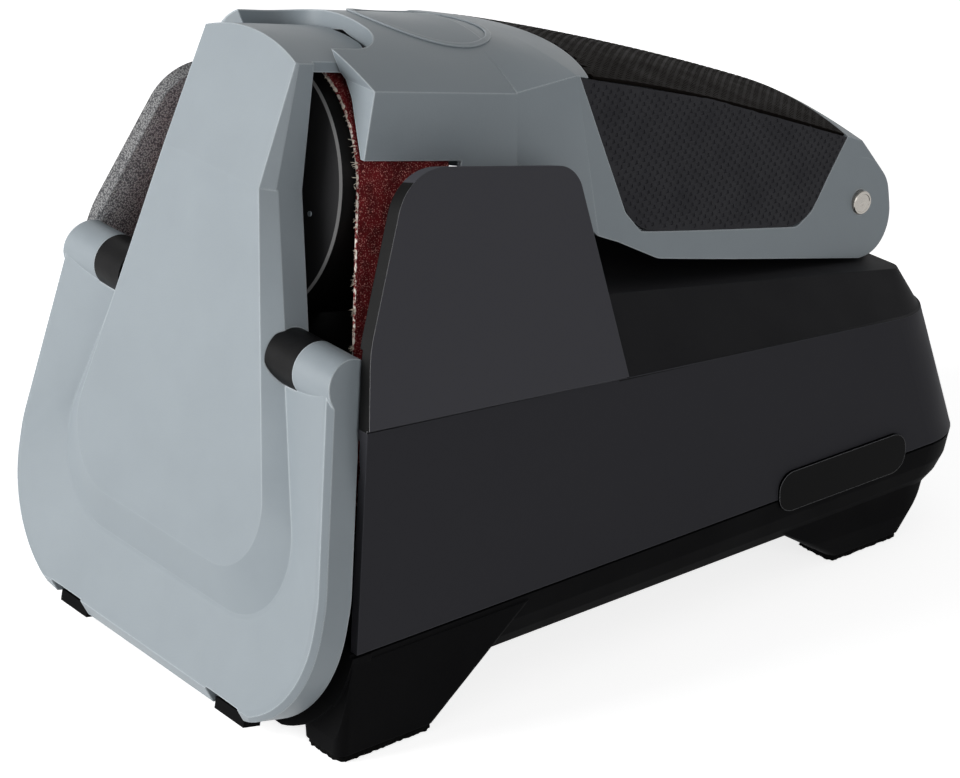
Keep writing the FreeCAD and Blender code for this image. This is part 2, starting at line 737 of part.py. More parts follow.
# side profile of the main hood: lower edge, lobes round the pin and a rounded rear corner
hood_profile = [
    (V(-60, -4.0, 160), 0), (V(-60, -4.0, 96.6), 0), (V(-60, 1.5, 94.0), 0), (V(-60, 13.0, 87.4), 8),
    (V(-60, PIN_Y - 2, PIN_Z - size("lobe_radius")), 0),
    (V(-60, HOOD_REAR, PIN_Z - size("lobe_radius")), size("hood_rear") - 0.2),
    (V(-60, HOOD_REAR, 86.0), 8), (V(-60, 81.0, 106.0), 3),
    (V(-60, 60, 117.0), 0), (V(-60, 60, 160), 0),
]
hood_side = slab(hood_profile, V(120, 0, 0))
main_outer = hood_main(0).common(hood_side)
flare_profile = [
    (V(-60, -20, 160), 0), (V(-60, -20, 115.2), 0), (V(-60, -4, 96.6), 0), (V(-60, -4, 160), 0),
]
flare_outer = flare(0).common(slab(flare_profile, V(120, 0, 0)))
shield_start = 8.0
shields = shield_front(shield_start, size("shield_rear"), False)
shield_face = [
    (V(-60, 0, 120), 0), (V(-60, 15.3, 120), 0), (V(-60, 15.0, size("shield_crease")), 0),
    (V(-60, 10.5, 153.4), 0), (V(-60, 9.8, 170), 0), (V(-60, 0, 170), 0),
]
shields = shields.cut(slab(shield_face, V(120, 0, 0)))
shield_void = shield_front(shield_start, size("shield_rear") - 3, True)
slot = slab([
    (V(-size("slot_half"), -10, 138), 0), (V(size("slot_half"), -10, 138), 0),
    (V(size("slot_half"), size("slot_reach"), 138), 10), (V(-size("slot_half"), size("slot_reach"), 138), 10),
], V(0, 0, 40))
cheek = block((20.0, 42.4, 122.0), (size("shield_half"), size("shield_rear") + 4, 140.0))
shields = shields.fuse([cheek, mirrored(cheek)])
front_outer = leaned(shields.cut([shield_void, slot]))
hood = main_outer.fuse(flare_outer)
inner_wall = size("hood_wall")
main_void = hood_main(inner_wall)
void_profile = [
    (V(-60, -4.2, 160), 0), (V(-60, -4.2, 60), 0), (V(-60, HOOD_REAR - 2.5, 60), 0),
    (V(-60, HOOD_REAR - 2.5, 85.0), 6),
    (V(-60, 80.0, 102.0), 3), (V(-60, 60, 113.4), 0), (V(-60, 60, 160), 0),
]
main_void = main_void.common(slab(void_profile, V(120, 0, 0)))
flare_void = flare(inner_wall).common(block((-60, -18.0, 60), (60, -4.0, 160)))
hood = hood.cut([main_void, flare_void])
throat = leaned(shield_front(size("shield_rear") - 12, size("shield_rear") + 9, True))
hood = hood.fuse(front_outer).cut(throat)

# lobes round the pin, and the open span between them for the hinge barrel
lobe_inner = barrel_half + 0.8
lobe = rod((lobe_inner, PIN_Y, PIN_Z), (1, 0, 0), size("lobe_radius") - 1.5, 20).common(main_outer)
hood = hood.fuse([lobe, mirrored(lobe)])
tail_low = PIN_Z + size("lobe_radius") * math.sin(math.radians(16))
tail_cut = block((-lobe_inner, PIN_Y - 2, 60), (lobe_inner, PIN_Y + 20, tail_low))
sweep = rod((-lobe_inner, PIN_Y, PIN_Z), (1, 0, 0), size("barrel_radius") + 0.7, 2 * lobe_inner)
pin_hole = rod((-60, PIN_Y, PIN_Z), (1, 0, 0), size("pin_radius") + size("run_clear"), 120)
hood = hood.cut([tail_cut, sweep, pin_hole])

# soft grips let into the sides and the top
grip_skin = main_outer.cut(hood_main(size("grip_thick")))
SIDE_GRIP = [
    (-3.0, 132.4, 0), (5.0, 100.1, 3), (8.9, 94.8, 3), (61.0, 82.8, 4), (67.0, 85.2, 4),
    (82.0, 99.7, 0), (37.2, 118.8, 0),
]
crease_lift = 0.2
side_region = slab([(V(5, y, z - crease_lift), radius) for y, z, radius in SIDE_GRIP], V(60, 0, 0))
side_grip = grip_skin.common(side_region)
TOP_EDGE = [(-3.0, 132.4), (37.2, 118.8), (82.0, 99.7)]
top_profile = [V(-60, y, z - crease_lift) for y, z in TOP_EDGE] + [V(-60, 82, 170), V(-60, -3, 170)]
top_region = Part.Face(loop(top_profile)).extrude(V(120, 0, 0))
front_bow = rod((0, -61.0, 60), (0, 0, 1), 68.0, 140)
top_grip = grip_skin.common(top_region).cut(front_bow)
hood = hood.cut([side_grip, mirrored(side_grip), top_grip])
solid("hood_shell", hood.removeSplitter())
solid("hood_grip_right", side_grip.removeSplitter())
solid("hood_grip_left", mirrored(side_grip).removeSplitter())
solid("hood_grip_top", top_grip.removeSplitter())
solid("hood_hinge_pin", hood_pin)

# Belt drive, in the lean frame
PULLEY_V = size("pulley_rise")
PULLEY_R = size("pulley_radius")
ROLLER_R = size("roller_radius")
BELT_Q = size("belt_front")


def belt_wire(gap, depth):
    """Loop round the upper pulley and the two lower rollers, a gap outside them."""
    big = PULLEY_R + gap
    small = ROLLER_R + gap
    across = ROLLER_X
    down = PULLEY_V - ROLLER_V
    span = math.hypot(across, down)
    turn = math.atan2(-down, across) + math.acos((big - small) / span)
    high = V(big * math.cos(turn), depth, PULLEY_V + big * math.sin(turn))
    low = V(ROLLER_X + small * math.cos(turn), depth, ROLLER_V + small * math.sin(turn))
    bottom = V(ROLLER_X, depth, ROLLER_V - small)
    middle_turn = (turn - math.pi / 2) / 2
    corner = V(ROLLER_X + small * math.cos(middle_turn), depth, ROLLER_V + small * math.sin(middle_turn))
    top = V(0, depth, PULLEY_V + big)
    flip = [V(-p.x, p.y, p.z) for p in (high, low, bottom, corner)]
    return Part.Wire([
        Part.Arc(flip[0], top, high).toShape(),
        Part.makeLine(high, low),
        Part.Arc(low, corner, bottom).toShape(),
        Part.makeLine(bottom, flip[2]),
        Part.Arc(flip[2], flip[3], flip[1]).toShape(),
        Part.makeLine(flip[1], flip[0]),
    ])


belt_gap = size("belt_clear")
belt_outer = Part.Face(belt_wire(belt_gap + size("belt_thick"), BELT_Q)).extrude(V(0, size("belt_width"), 0))
belt_inner = Part.Face(belt_wire(belt_gap, BELT_Q)).extrude(V(0, size("belt_width"), 0))
solid("abrasive_belt", belt_outer.cut(belt_inner), LEAN)


def lean_turn(x, depth, rise):
    """Placement that lays a body's Z axis along the drive's axis."""
    lie = FreeCAD.Placement(V(x, depth, rise), FreeCAD.Rotation(V(1, 0, 0), -90))
    return LEAN.multiply(lie)


def plane_of(body, role):
    return [feature for feature in body.Origin.OriginFeatures if feature.Role == role][0]


def new_body(label, placement):
    body = doc.addObject("PartDesign::Body", label)
    body.Placement = placement
    NODES.append(body)
    return body


def sketch_on(body, name, role):
    sketch = body.newObject("Sketcher::SketchObject", name)
    sketch.AttachmentSupport = [(plane_of(body, role), "")]
    sketch.MapMode = "FlatFace"
    return sketch


def turned(label, profile, placement):
    """A body of revolution about its Z axis from (radius, height) points."""
    body = new_body(label, placement)
    sketch = sketch_on(body, label + "_profile", "XZ_Plane")
    count = len(profile)
    for i in range(count):
        start = V(profile[i][0], profile[i][1], 0)
        end = V(profile[(i + 1) % count][0], profile[(i + 1) % count][1], 0)
        sketch.addGeometry(Part.LineSegment(start, end), False)
    turn = body.newObject("PartDesign::Revolution", label + "_turn")
    turn.Profile = sketch
    turn.ReferenceAxis = (sketch, ["V_Axis"])
    turn.Angle = 360
    body.Tip = turn
    return body


def disc(label, radius, length, placement, bore=None):
    """A round pad whose radius, bore and length come from the sheet."""
    body = new_body(label, placement)
    sketch = sketch_on(body, label + "_circle", "XY_Plane")
    sketch.addGeometry(Part.Circle(V(0, 0, 0), V(0, 0, 1), 5), False)
    number = sketch.addConstraint(Sketcher.Constraint("Radius", 0, 5))
    sketch.setExpression("Constraints[%d]" % number, radius)
    if bore is not None:
        sketch.addGeometry(Part.Circle(V(0, 0, 0), V(0, 0, 1), 1), False)
        number = sketch.addConstraint(Sketcher.Constraint("Radius", 1, 1))
        sketch.setExpression("Constraints[%d]" % number, bore)
    pad = body.newObject("PartDesign::Pad", label + "_pad")
    pad.Profile = sketch
    pad.setExpression("Length", length)
    body.Tip = pad
    return body


PULLEY_Q = size("pulley_front")
pulley_wide = size("pulley_rear") - PULLEY_Q
seat_radius = size("bearing_outer")
bearing_wide = size("bearing_width")
hub = seat_radius + 3.5
turned("upper_pulley", [
    (PULLEY_R - 0.5, 0), (PULLEY_R, 0.5), (PULLEY_R, pulley_wide), (PULLEY_R - 3, pulley_wide),
    (PULLEY_R - 3, 8), (hub, 8), (hub, pulley_wide - 1), (seat_radius, pulley_wide - 1), (seat_radius, 3.5),
    (size("axle_radius") + 2, 3.5), (size("axle_radius") + 2, 0),
], lean_turn(0, PULLEY_Q, PULLEY_V))
bearing_rings = []
for start in (PULLEY_Q + 3.5, PULLEY_Q + pulley_wide - 1 - bearing_wide):
    ring = rod((0, start, PULLEY_V), (0, 1, 0), seat_radius, bearing_wide)
    bore = rod((0, start - 1, PULLEY_V), (0, 1, 0), size("axle_radius") + size("run_clear"), bearing_wide + 2)
    bearing_rings.append(ring.cut(bore))
solid("upper_bearings", Part.makeCompound(bearing_rings), LEAN)
axle_front = PULLEY_Q + 3.0
turned("upper_axle", [
    (0, 0), (size("axle_radius"), 0), (size("axle_radius"), 49.0 - axle_front), (0, 49.0 - axle_front),
], lean_turn(0, axle_front, PULLEY_V))

# drive frame: a plate on the bulkhead that carries the axle, the motor's shaft and the tension slide
FRAME_BACK = size("bulkhead_depth")
FRAME_HALF = [(12.0, 131.0, 6), (31.0, 90.0, 6), (46.0, 84.0, 4), (46.0, 33.0, 8)]
frame_plate = prism(FRAME_HALF, frame_front, FRAME_BACK)
axle_hole = rod((0, frame_front - 5, PULLEY_V), (0, 1, 0), size("axle_radius"), 20)
axle_boss = rod((0, frame_front - 1.4, PULLEY_V), (0, 1, 0), 8.0, FRAME_BACK + 3.5 - frame_front + 1.4)
frame_plate = frame_plate.fuse(axle_boss)
bearing_hole = rod((ROLLER_X, frame_front - 5, ROLLER_V), (0, 1, 0), 7.0, 20)
SLIDE = math.radians(size("tension_turn"))
SLIDE_DIR = V(math.cos(SLIDE), 0, math.sin(SLIDE))


def slide_point(along, depth):
    return V(-ROLLER_X, depth, ROLLER_V) + SLIDE_DIR * along


GUIDES = (9.5, 17.0)
guide_holes = [rod(tuple(slide_point(s, frame_front - 1)), (0, 1, 0), 1.5, 8) for s in GUIDES]
frame_plate = frame_plate.cut([axle_hole, bearing_hole] + screw_holes + guide_holes)
post = rod(tuple(slide_point(35.0, 36.0)), (0, 1, 0), 2.0, frame_front - 36.0)
frame_plate = frame_plate.fuse(post)
solid("drive_frame", frame_plate.removeSplitter(), LEAN)
frame_screws = []
for x, v in SCREWS:
    head = rod((x, frame_front - 1.8, v), (0, 1, 0), 3.0, 1.8)
    frame_screws.append(head.fuse(rod((x, frame_front, v), (0, 1, 0), 1.5, 5.5)))
solid("frame_screws", Part.makeCompound(frame_screws), LEAN)

# motor with its shaft straight into the drive roller
drive_ring = rod((ROLLER_X, frame_front, ROLLER_V), (0, 1, 0), 7.0, bulkhead_back - frame_front)
shaft_bore = size("shaft_radius") + size("run_clear")
drive_ring = drive_ring.cut(rod((ROLLER_X, 0, ROLLER_V), (0, 1, 0), shaft_bore, 100))
solid("drive_bearing", drive_ring, LEAN)
MOTOR_Q = bulkhead_back
motor_length = size("motor_rear") - MOTOR_Q
motor_wall = 2.0
motor_room = size("motor_radius") - motor_wall
turned("motor_housing", [
    (5.0, 0), (size("motor_radius"), 0), (size("motor_radius"), motor_length),
    (motor_room, motor_length), (motor_room, 2.5), (5.0, 2.5),
], lean_turn(ROLLER_X, MOTOR_Q, ROLLER_V))
turned("motor_end_cap", [
    (shaft_bore, 0), (size("motor_radius"), 0), (size("motor_radius") - 1.5, 3.0), (shaft_bore, 3.0),
], lean_turn(ROLLER_X, size("motor_rear"), ROLLER_V))
rotor_place = lean_turn(ROLLER_X, 54, ROLLER_V)
disc("motor_rotor", "Sizes.motor_radius - 4", "Sizes.motor_rear - 58", rotor_place, "Sizes.shaft_radius")
disc("motor_shaft", "Sizes.shaft_radius", "Sizes.motor_rear - 9.5", lean_turn(ROLLER_X, 16.0, ROLLER_V))
SHAFT_R = size("shaft_radius")
roller_profile = [
    (SHAFT_R, 1.5), (ROLLER_R - 1, 1.5), (ROLLER_R, 2.5), (ROLLER_R, 26.0), (SHAFT_R, 26.0),
]
turned("drive_roller", roller_profile, lean_turn(ROLLER_X, 14.5, ROLLER_V))

# idler roller on its spring-loaded slide
turned("idler_roller", [
    (shaft_bore, 0.5), (ROLLER_R - 1, 0.5), (ROLLER_R, 1.5), (ROLLER_R, 24.0), (shaft_bore, 24.0),
], lean_turn(-ROLLER_X, 14.5, ROLLER_V))
turned("idler_axle", [
    (0, 0), (4.6, 0), (4.6, 1.5), (SHAFT_R, 1.5), (SHAFT_R, 29.8), (0, 29.8),
], lean_turn(-ROLLER_X, 13.3, ROLLER_V))
carriage_front = 41.0
carriage_back = 43.2
side_dir = V(-SLIDE_DIR.z, 0, SLIDE_DIR.x)


def strip(start, end, width, front, back):
    """Round-ended bar along the slide."""
    near = slide_point(start, front)
    far = slide_point(end, front)
    wide = side_dir * width
    before = near - SLIDE_DIR * width
    beyond = far + SLIDE_DIR * width
    points = (before - wide, beyond - wide, beyond + wide, before + wide)
    return slab([(point, width * 0.98) for point in points], V(0, back - front, 0))


carriage = strip(0, 17.5, 6.0, carriage_front, carriage_back)
travel = 3.5
for s in GUIDES:
    carriage = carriage.cut(strip(s - travel, s, 1.8, carriage_front - 1, carriage_back + 1))
lug_low = slide_point(20.6, 36.0) - side_dir * 3
lug_along = SLIDE_DIR * 2
lug_across = side_dir * 6
lug_points = (lug_low, lug_low + lug_along, lug_low + lug_along + lug_across, lug_low + lug_across)
carriage = carriage.fuse(slab([(point, 0) for point in lug_points], V(0, carriage_back - 36.0, 0)))
carriage = carriage.cut(rod((-ROLLER_X, 30, ROLLER_V), (0, 1, 0), size("shaft_radius"), 20))
solid("tension_carriage", carriage.removeSplitter(), LEAN)
guide_screws = []
for s in GUIDES:
    head = rod(tuple(slide_point(s, carriage_front - 1.9)), (0, 1, 0), 3.0, 1.6)
    guide_screws.append(head.fuse(rod(tuple(slide_point(s, carriage_front - 0.3)), (0, 1, 0), 1.5, 5.8)))
solid("tension_guide_screws", Part.makeCompound(guide_screws), LEAN)
spring_start = slide_point(22.6, 38.5)
spring = rod(tuple(spring_start), tuple(SLIDE_DIR), 2.3, 10.2)
spring = spring.cut(rod(tuple(spring_start), tuple(SLIDE_DIR), 1.5, 10.2))
solid("tension_spring", spring, LEAN)

# Rear controls
proud = size("button_proud")
BUTTON_R = size("button_radius")
button_back = -5.5
for name, x in zip(("left", "middle", "right"), BUTTON_XS):
    turned("program_button_" + name, [
        (0, button_back), (BUTTON_R + 1.4, button_back), (BUTTON_R + 1.4, -3.2), (BUTTON_R, -3.2),
        (BUTTON_R, proud - 0.8), (BUTTON_R - 0.8, proud), (0, proud),
    ], wall_place(x, BUTTON_Z))
bezel = block((BUTTON_X - 29, -9, 0), (BUTTON_X + 29, 9, 0.8))
bezel = bezel.makeFillet(4.0, [edge for edge in bezel.Edges if edge.BoundBox.ZLength > 0.5])
bezel = bezel.cut([rod((x, 0, -5), (0, 0, 1), size("button_radius") + 0.3, 10) for x in BUTTON_XS])
solid("button_bezel", bezel, wall_place(0, BUTTON_Z))
board_back = -size("board_depth")
board = block((BUTTON_X - 33, -9, board_back - 1.6), (BUTTON_X + 33, 9, board_back))
solid("control_board", board, wall_place(0, BUTTON_Z))
switch_top = button_back - size("button_travel") - 0.3
switches = [block((x - 3, -3, board_back), (x + 3, 3, switch_top)) for x in BUTTON_XS]
solid("button_switches", Part.makeCompound(switches), wall_place(0, BUTTON_Z))


def inlet_box(grow, low, high):
    """Box round the inlet's middle, grown or shrunk from its opening."""
    wide = inlet_half[0] + grow
    tall = inlet_half[1] + grow
    return block((-wide, -tall, low), (wide, tall, high))


inlet = inlet_box(0, -16, 0).fuse(inlet_box(2, 0, 1.2)).cut(inlet_box(-2, -12, 3))
prongs = [rod((x, 0, -14), (0, 0, 1), 1.1, 11) for x in (-4.4, 4.4)]
inlet = inlet.cut(prongs)
solid("power_inlet", inlet, wall_place(size("inlet_x"), size("inlet_z")))
solid("inlet_prongs", Part.makeCompound(prongs), wall_place(size("inlet_x"), size("inlet_z")))

# Rubber pads under the feet
pad_inset = 0.4
for name, rect, side in (("front_right", FRONT_FOOT, 1), ("front_left", FRONT_FOOT, -1),
                         ("rear_right", REAR_FOOT, 1), ("rear_left", REAR_FOOT, -1)):
    x0, x1, y0, y1, z = rect
    pad = block((x0 + pad_inset, y0 + pad_inset, 0), (x1 - pad_inset, y1 - pad_inset, PAD))
    pad = pad.makeFillet(2.0, [edge for edge in pad.Edges if edge.BoundBox.ZLength > 1.0])
    if side < 0:
        pad = mirrored(pad)
    solid("foot_pad_" + name, pad)

doc.recompute()
os.makedirs("parts", exist_ok=True)
for node in NODES:
    if "Invalid" in node.State or "Error" in node.State:
        raise RuntimeError("feature failed: " + node.Label)
    if node.Shape.isNull() or not node.Shape.isValid():
        raise RuntimeError("bad shape: " + node.Label)
    node.Shape.exportStep("parts/%s.step" % node.Label)
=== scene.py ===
# %% [markdown]
# # A belt sharpener for kitchen knives
# This lesson dresses a finished CAD assembly. Every solid of the machine is already at its real
# size and place, so nothing is moved here. Each step names a piece or a finish of the real object,
# says how it could be made in Blender, and then makes it.

# %% Load the machine
import json
import math
import random

import bpy
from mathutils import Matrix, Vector


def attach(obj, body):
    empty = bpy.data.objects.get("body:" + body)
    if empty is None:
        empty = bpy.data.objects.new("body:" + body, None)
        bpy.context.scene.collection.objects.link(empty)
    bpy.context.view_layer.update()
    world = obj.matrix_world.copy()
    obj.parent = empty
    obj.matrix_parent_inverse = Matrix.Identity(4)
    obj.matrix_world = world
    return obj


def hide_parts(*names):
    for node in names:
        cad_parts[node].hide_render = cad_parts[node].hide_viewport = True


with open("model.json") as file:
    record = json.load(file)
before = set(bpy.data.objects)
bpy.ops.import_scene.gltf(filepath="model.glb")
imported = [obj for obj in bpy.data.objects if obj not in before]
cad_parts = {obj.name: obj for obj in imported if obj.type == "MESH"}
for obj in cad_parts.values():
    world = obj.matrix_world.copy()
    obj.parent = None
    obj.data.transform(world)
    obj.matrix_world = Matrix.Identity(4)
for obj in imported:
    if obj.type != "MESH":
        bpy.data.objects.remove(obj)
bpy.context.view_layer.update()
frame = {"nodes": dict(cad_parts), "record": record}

nodes = frame["nodes"]
MM = 0.001

# %% [markdown]
# ## The camera
# The photograph was taken from the front right and a little above. A long lens keeps the upright
# edges nearly parallel. The focal length is written in pixels of the picture, because that is how
# it was measured, and turned into the millimetres that Blender asks for.

# %% Camera
PICTURE_WIDTH = 960
FOCAL_PIXELS = 3200
SENSOR_WIDTH = 36.0
VIEW_AZIMUTH = 52.0
VIEW_ELEVATION = 24.0
CAMERA_PLACE = (0.5584, -0.4433, 0.3609)

bpy.ops.object.camera_add(
    location=CAMERA_PLACE,
    rotation=(math.radians(90.0 - VIEW_ELEVATION), 0.0, math.radians(VIEW_AZIMUTH)),
)
camera = bpy.context.object
camera.name = "studio_camera"
camera.data.sensor_fit = "HORIZONTAL"
camera.data.sensor_width = SENSOR_WIDTH
camera.data.lens = FOCAL_PIXELS * SENSOR_WIDTH / PICTURE_WIDTH
bpy.context.scene.camera = camera
bpy.context.scene.view_settings.view_transform = "Standard"
print("lens", round(camera.data.lens, 1), "mm")

# %% [markdown]
# ## Two small tools for materials
# Colours are written as the hex values that a paint chart or a picture gives, and Blender's shaders
# want linear light, so one function converts them. A second function adds a shader node, sets it
# and links it, which keeps each material down to the few lines that make it different.

# %% Material tools
def colour(code):
    """Linear RGBA for an sRGB hex value."""
    parts = [int(code[i:i + 2], 16) / 255.0 for i in (1, 3, 5)]
    linear = [p / 12.92 if p <= 0.04045 else ((p + 0.055) / 1.055) ** 2.4 for p in parts]
    return (*linear, 1.0)


def add(tree, kind, inputs=None, **settings):
    """One shader node with its settings, and its inputs filled or linked."""
    made = tree.nodes.new("ShaderNode" + kind)
    for name, value in settings.items():
        setattr(made, name, value)
    for name, value in (inputs or {}).items():
        if isinstance(value, bpy.types.NodeSocket):
            tree.links.new(value, made.inputs[name])
        else:
            made.inputs[name].default_value = value
    return made


def per(size):
    """Texture scale that repeats a pattern about once in a size in millimetres."""
    return 1.0 / (size * MM)


def start_finish(name, base, roughness, metallic=0.0):
    """A new material with its plain values, its node tree, its shader and object coordinates."""
    material = bpy.data.materials.new(name)
    material.use_nodes = True
    tree = material.node_tree
    shader = tree.nodes["Principled BSDF"]
    shader.inputs["Base Color"].default_value = colour(base)
    shader.inputs["Roughness"].default_value = roughness
    shader.inputs["Metallic"].default_value = metallic
    place = add(tree, "TexCoord").outputs["Object"]
    return material, tree, shader, place


# %% [markdown]
# ## Floor and light
# A product picture like this one is made on a white sweep with a large soft box at the front left.
# The floor is plain pale paint. It glows a little for the camera and for reflections only, so that
# it reads as white while the lamps stay at a level that shows the colours as they are written.

# %% Floor, world and lamps
FLOOR_SIDE = 12.0
FLOOR_GLOW = 0.78
FLOOR_DROP = 0.0002
ROOM_LIGHT = 0.2
AIM = Vector((0.0, -0.02, 0.07))


def background_rays(tree):
    """1 for rays that show the background: straight to the camera, reflected or refracted."""
    path = add(tree, "LightPath")
    share = path.outputs["Is Camera Ray"]
    for kind in ("Is Glossy Ray", "Is Transmission Ray"):
        share = add(tree, "Math", {0: share, 1: path.outputs[kind]}, operation="MAXIMUM").outputs[0]
    return share


bpy.ops.mesh.primitive_plane_add(size=FLOOR_SIDE, location=(0.0, 0.0, -FLOOR_DROP))
floor = bpy.context.object
floor.name = "studio_floor"
paint = bpy.data.materials.new("white_matte_paint")
paint.use_nodes = True
tree = paint.node_tree
tree.nodes.remove(tree.nodes["Principled BSDF"])
matte = add(tree, "BsdfDiffuse", {"Color": colour("#E9E9E9")})
seen = add(tree, "Math", {0: background_rays(tree), 1: FLOOR_GLOW}, operation="MULTIPLY")
glow = add(tree, "Emission", {"Strength": seen.outputs[0]})
both = add(tree, "AddShader", {0: matte.outputs[0], 1: glow.outputs[0]})
tree.links.new(both.outputs[0], tree.nodes["Material Output"].inputs["Surface"])
floor.data.materials.append(paint)

world = bpy.data.worlds.new("white_room")
bpy.context.scene.world = world
world.use_nodes = True
tree = world.node_tree
rise = {0: background_rays(tree), 1: 1.0 - ROOM_LIGHT, 2: ROOM_LIGHT}
shown = add(tree, "Math", rise, operation="MULTIPLY_ADD")
tree.links.new(shown.outputs[0], tree.nodes["Background"].inputs["Strength"])
tree.nodes["Background"].inputs["Color"].default_value = (1.0, 1.0, 1.0, 1.0)


def soft_box(name, place, side, watts):
    """A square area lamp turned to the middle of the machine."""
    bpy.ops.object.light_add(type="AREA", location=place)
    lamp = bpy.context.object
    lamp.name = name
    lamp.data.size = side
    lamp.data.energy = watts
    lamp.rotation_euler = (AIM - Vector(place)).to_track_quat("-Z", "Y").to_euler()
    return lamp


soft_box("key_front_left", (-0.55, -1.38, 0.52), 0.8, 21.0)
soft_box("top_soft", (-0.2, 0.3, 1.5), 1.0, 0.3)
soft_box("fill_right", (1.5, -0.5, 0.6), 0.9, 5.6)

# %% [markdown]
# ## Moulded plastics
# Most of the machine is injection-moulded ABS. The mould is spark-eroded, which leaves a very fine
# grain that spreads the highlight, and every edge of a moulding is slightly round. The grain is a
# noise bump. The round edges come from a Bevel node, which bends the shading normal within a set
# distance of an edge. Where it bends the normal, the colour also turns paler: partly rubbed wear,
# partly a painted highlight along the edges.

# %% Moulded plastics
CLOUD = 14.0
EDGE_FLAT = 0.995
EDGE_BENT = 0.88


def moulded(name, base, edge, roughness, grain, grain_depth, edge_radius,
            specular=0.4, rubbed_and_highlight=0.45, cloudy=0.05):
    """Injection-moulded plastic with a fine grain, round edges and paler corners, partly rubbed wear
    and partly a painted highlight.
    """
    material, tree, shader, place = start_finish(name, base, roughness)
    shader.inputs["Specular IOR Level"].default_value = specular
    cloud = add(tree, "TexNoise", {"Vector": place, "Scale": per(CLOUD), "Detail": 4.0})
    soft = add(tree, "MapRange", {
        "Value": cloud.outputs[0], "From Min": 0.35, "From Max": 0.75, "To Max": cloudy})
    round_edge = add(tree, "Bevel", {"Radius": edge_radius * MM}, samples=6)
    flat = add(tree, "NewGeometry")
    bent = add(tree, "VectorMath", {
        0: round_edge.outputs[0], 1: flat.outputs["Normal"]}, operation="DOT_PRODUCT")
    # Painted highlight along the edges, partly rubbed wear: where the Bevel normal bends, the colour
    # turns paler.
    worn_and_highlight = add(tree, "MapRange", {
        "Value": bent.outputs["Value"], "From Min": EDGE_FLAT, "From Max": EDGE_BENT, "To Max": rubbed_and_highlight})
    share = add(tree, "Math", {
        0: soft.outputs[0], 1: worn_and_highlight.outputs[0]}, operation="ADD", use_clamp=True)
    tint = add(tree, "MixRGB", {"Fac": share.outputs[0], 1: colour(base), 2: colour(edge)})
    tree.links.new(tint.outputs[0], shader.inputs["Base Color"])
    fine = add(tree, "TexNoise", {
        "Vector": place, "Scale": per(grain), "Detail": 2.0, "Roughness": 0.6})
    bump = add(tree, "Bump", {
        "Height": fine.outputs[0], "Normal": round_edge.outputs[0], "Strength": 0.35,
        "Distance": grain_depth * MM})
    tree.links.new(bump.outputs[0], shader.inputs["Normal"])
    shine = add(tree, "MapRange", {
        "Value": cloud.outputs[0], "From Min": 0.3, "From Max": 0.7,
        "To Min": roughness - 0.05, "To Max": roughness + 0.05})
    tree.links.new(shine.outputs[0], shader.inputs["Roughness"])
    return material


# The second colour of each plastic is its pale edge: rubbed wear and painted highlight.
grey_abs = moulded("grey_satin_abs", "#8B949A", "#D0D8DD", 0.46, 0.45, 0.06, 0.6, rubbed_and_highlight=0.85)
black_abs = moulded("black_fine_grain_abs", "#313135", "#5E5F64", 0.6, 0.5, 0.08, 0.4, 0.06, 0.4, 0.03)
tray_abs = moulded("black_matte_abs", "#0B0B0C", "#262628", 0.7, 0.5, 0.08, 0.4, 0.03, 0.3, 0.02)
nylon = moulded("black_satin_nylon", "#1C1C1D", "#55565A", 0.5, 0.6, 0.05, 0.3, 0.1)
button_abs = moulded("light_grey_abs", "#7C858C", "#B9C1C6", 0.4, 0.45, 0.04, 0.35)
gloss_abs = moulded("black_gloss_abs", "#030304", "#8C8D90", 0.15, 0.8, 0.01, 0.25, 0.05, 0.9, 0.0)
print("mouldings", [m.name for m in (grey_abs, black_abs, tray_abs, nylon, button_abs, gloss_abs)])

# %% [markdown]
# ## Painted shade on the deck
# The deck of the housing, under the hood, gets painted shade. The upward part of the normal mixes a
# deeper black into the same plastic, so faces that look up read darker than the walls.

# %% Housing deck
WALL_TILT = 0.25
DECK_TILT = 0.45

tree = black_abs.node_tree
shader = tree.nodes["Principled BSDF"]
upward = add(tree, "SeparateXYZ", {0: add(tree, "TexCoord").outputs["Normal"]}).outputs["Z"]
# Painted shade: faces that look up mix in a deeper black than the walls.
deck = add(tree, "MapRange", {"Value": upward, "From Min": WALL_TILT, "From Max": DECK_TILT})
wall = shader.inputs["Base Color"].links[0].from_socket
tint = add(tree, "MixRGB", {"Fac": deck.outputs[0], 1: wall, 2: colour("#1E1E20")})
tree.links.new(tint.outputs[0], shader.inputs["Base Color"])
print("deck", black_abs.name)

# %% [markdown]
# ## Guide plates
# The two plates that steer the blade are satin black outside. Inside they carry a coarse grey grain,
# so that the steel doesn't squeak along them; its near-white speckle is partly painted light. One
# material does both. Masks made from the position and the normal choose the face: an X times a
# normal's X below zero is an inner face, and a normal that looks forwards is the narrow front edge.
# A looser limit, the brow, takes in the round top of the left plate, and its grain there is darkened
# as painted shade. Where the outer face meets the front edge, the bent normal of the Bevel node draws
# a thin pale line, a painted highlight.

# %% Guide plate plastic
FRONT_LIMIT = -0.5
BROW_LIMIT = -0.12
INNER_LIMIT = -0.02
PEBBLE = 0.4
BROW_SHADE = 0.68

plate_abs = moulded("black_grained_abs", "#414146", "#5F6065", 0.55, 0.4, 0.06, 0.35, 0.12, 0.3, 0.03)
tree = plate_abs.node_tree
shader = tree.nodes["Principled BSDF"]
spot = add(tree, "TexCoord")
where = add(tree, "SeparateXYZ", {0: spot.outputs["Object"]}).outputs["X"]
facing = add(tree, "SeparateXYZ", {0: spot.outputs["Normal"]})
bent = add(tree, "SeparateXYZ", {0: tree.nodes["Bevel"].outputs[0]}).outputs["Y"]


def mask(operation, first, second):
    """A number for each point: a comparison, a product or the larger of two values."""
    return add(tree, "Math", {0: first, 1: second}, operation=operation).outputs[0]


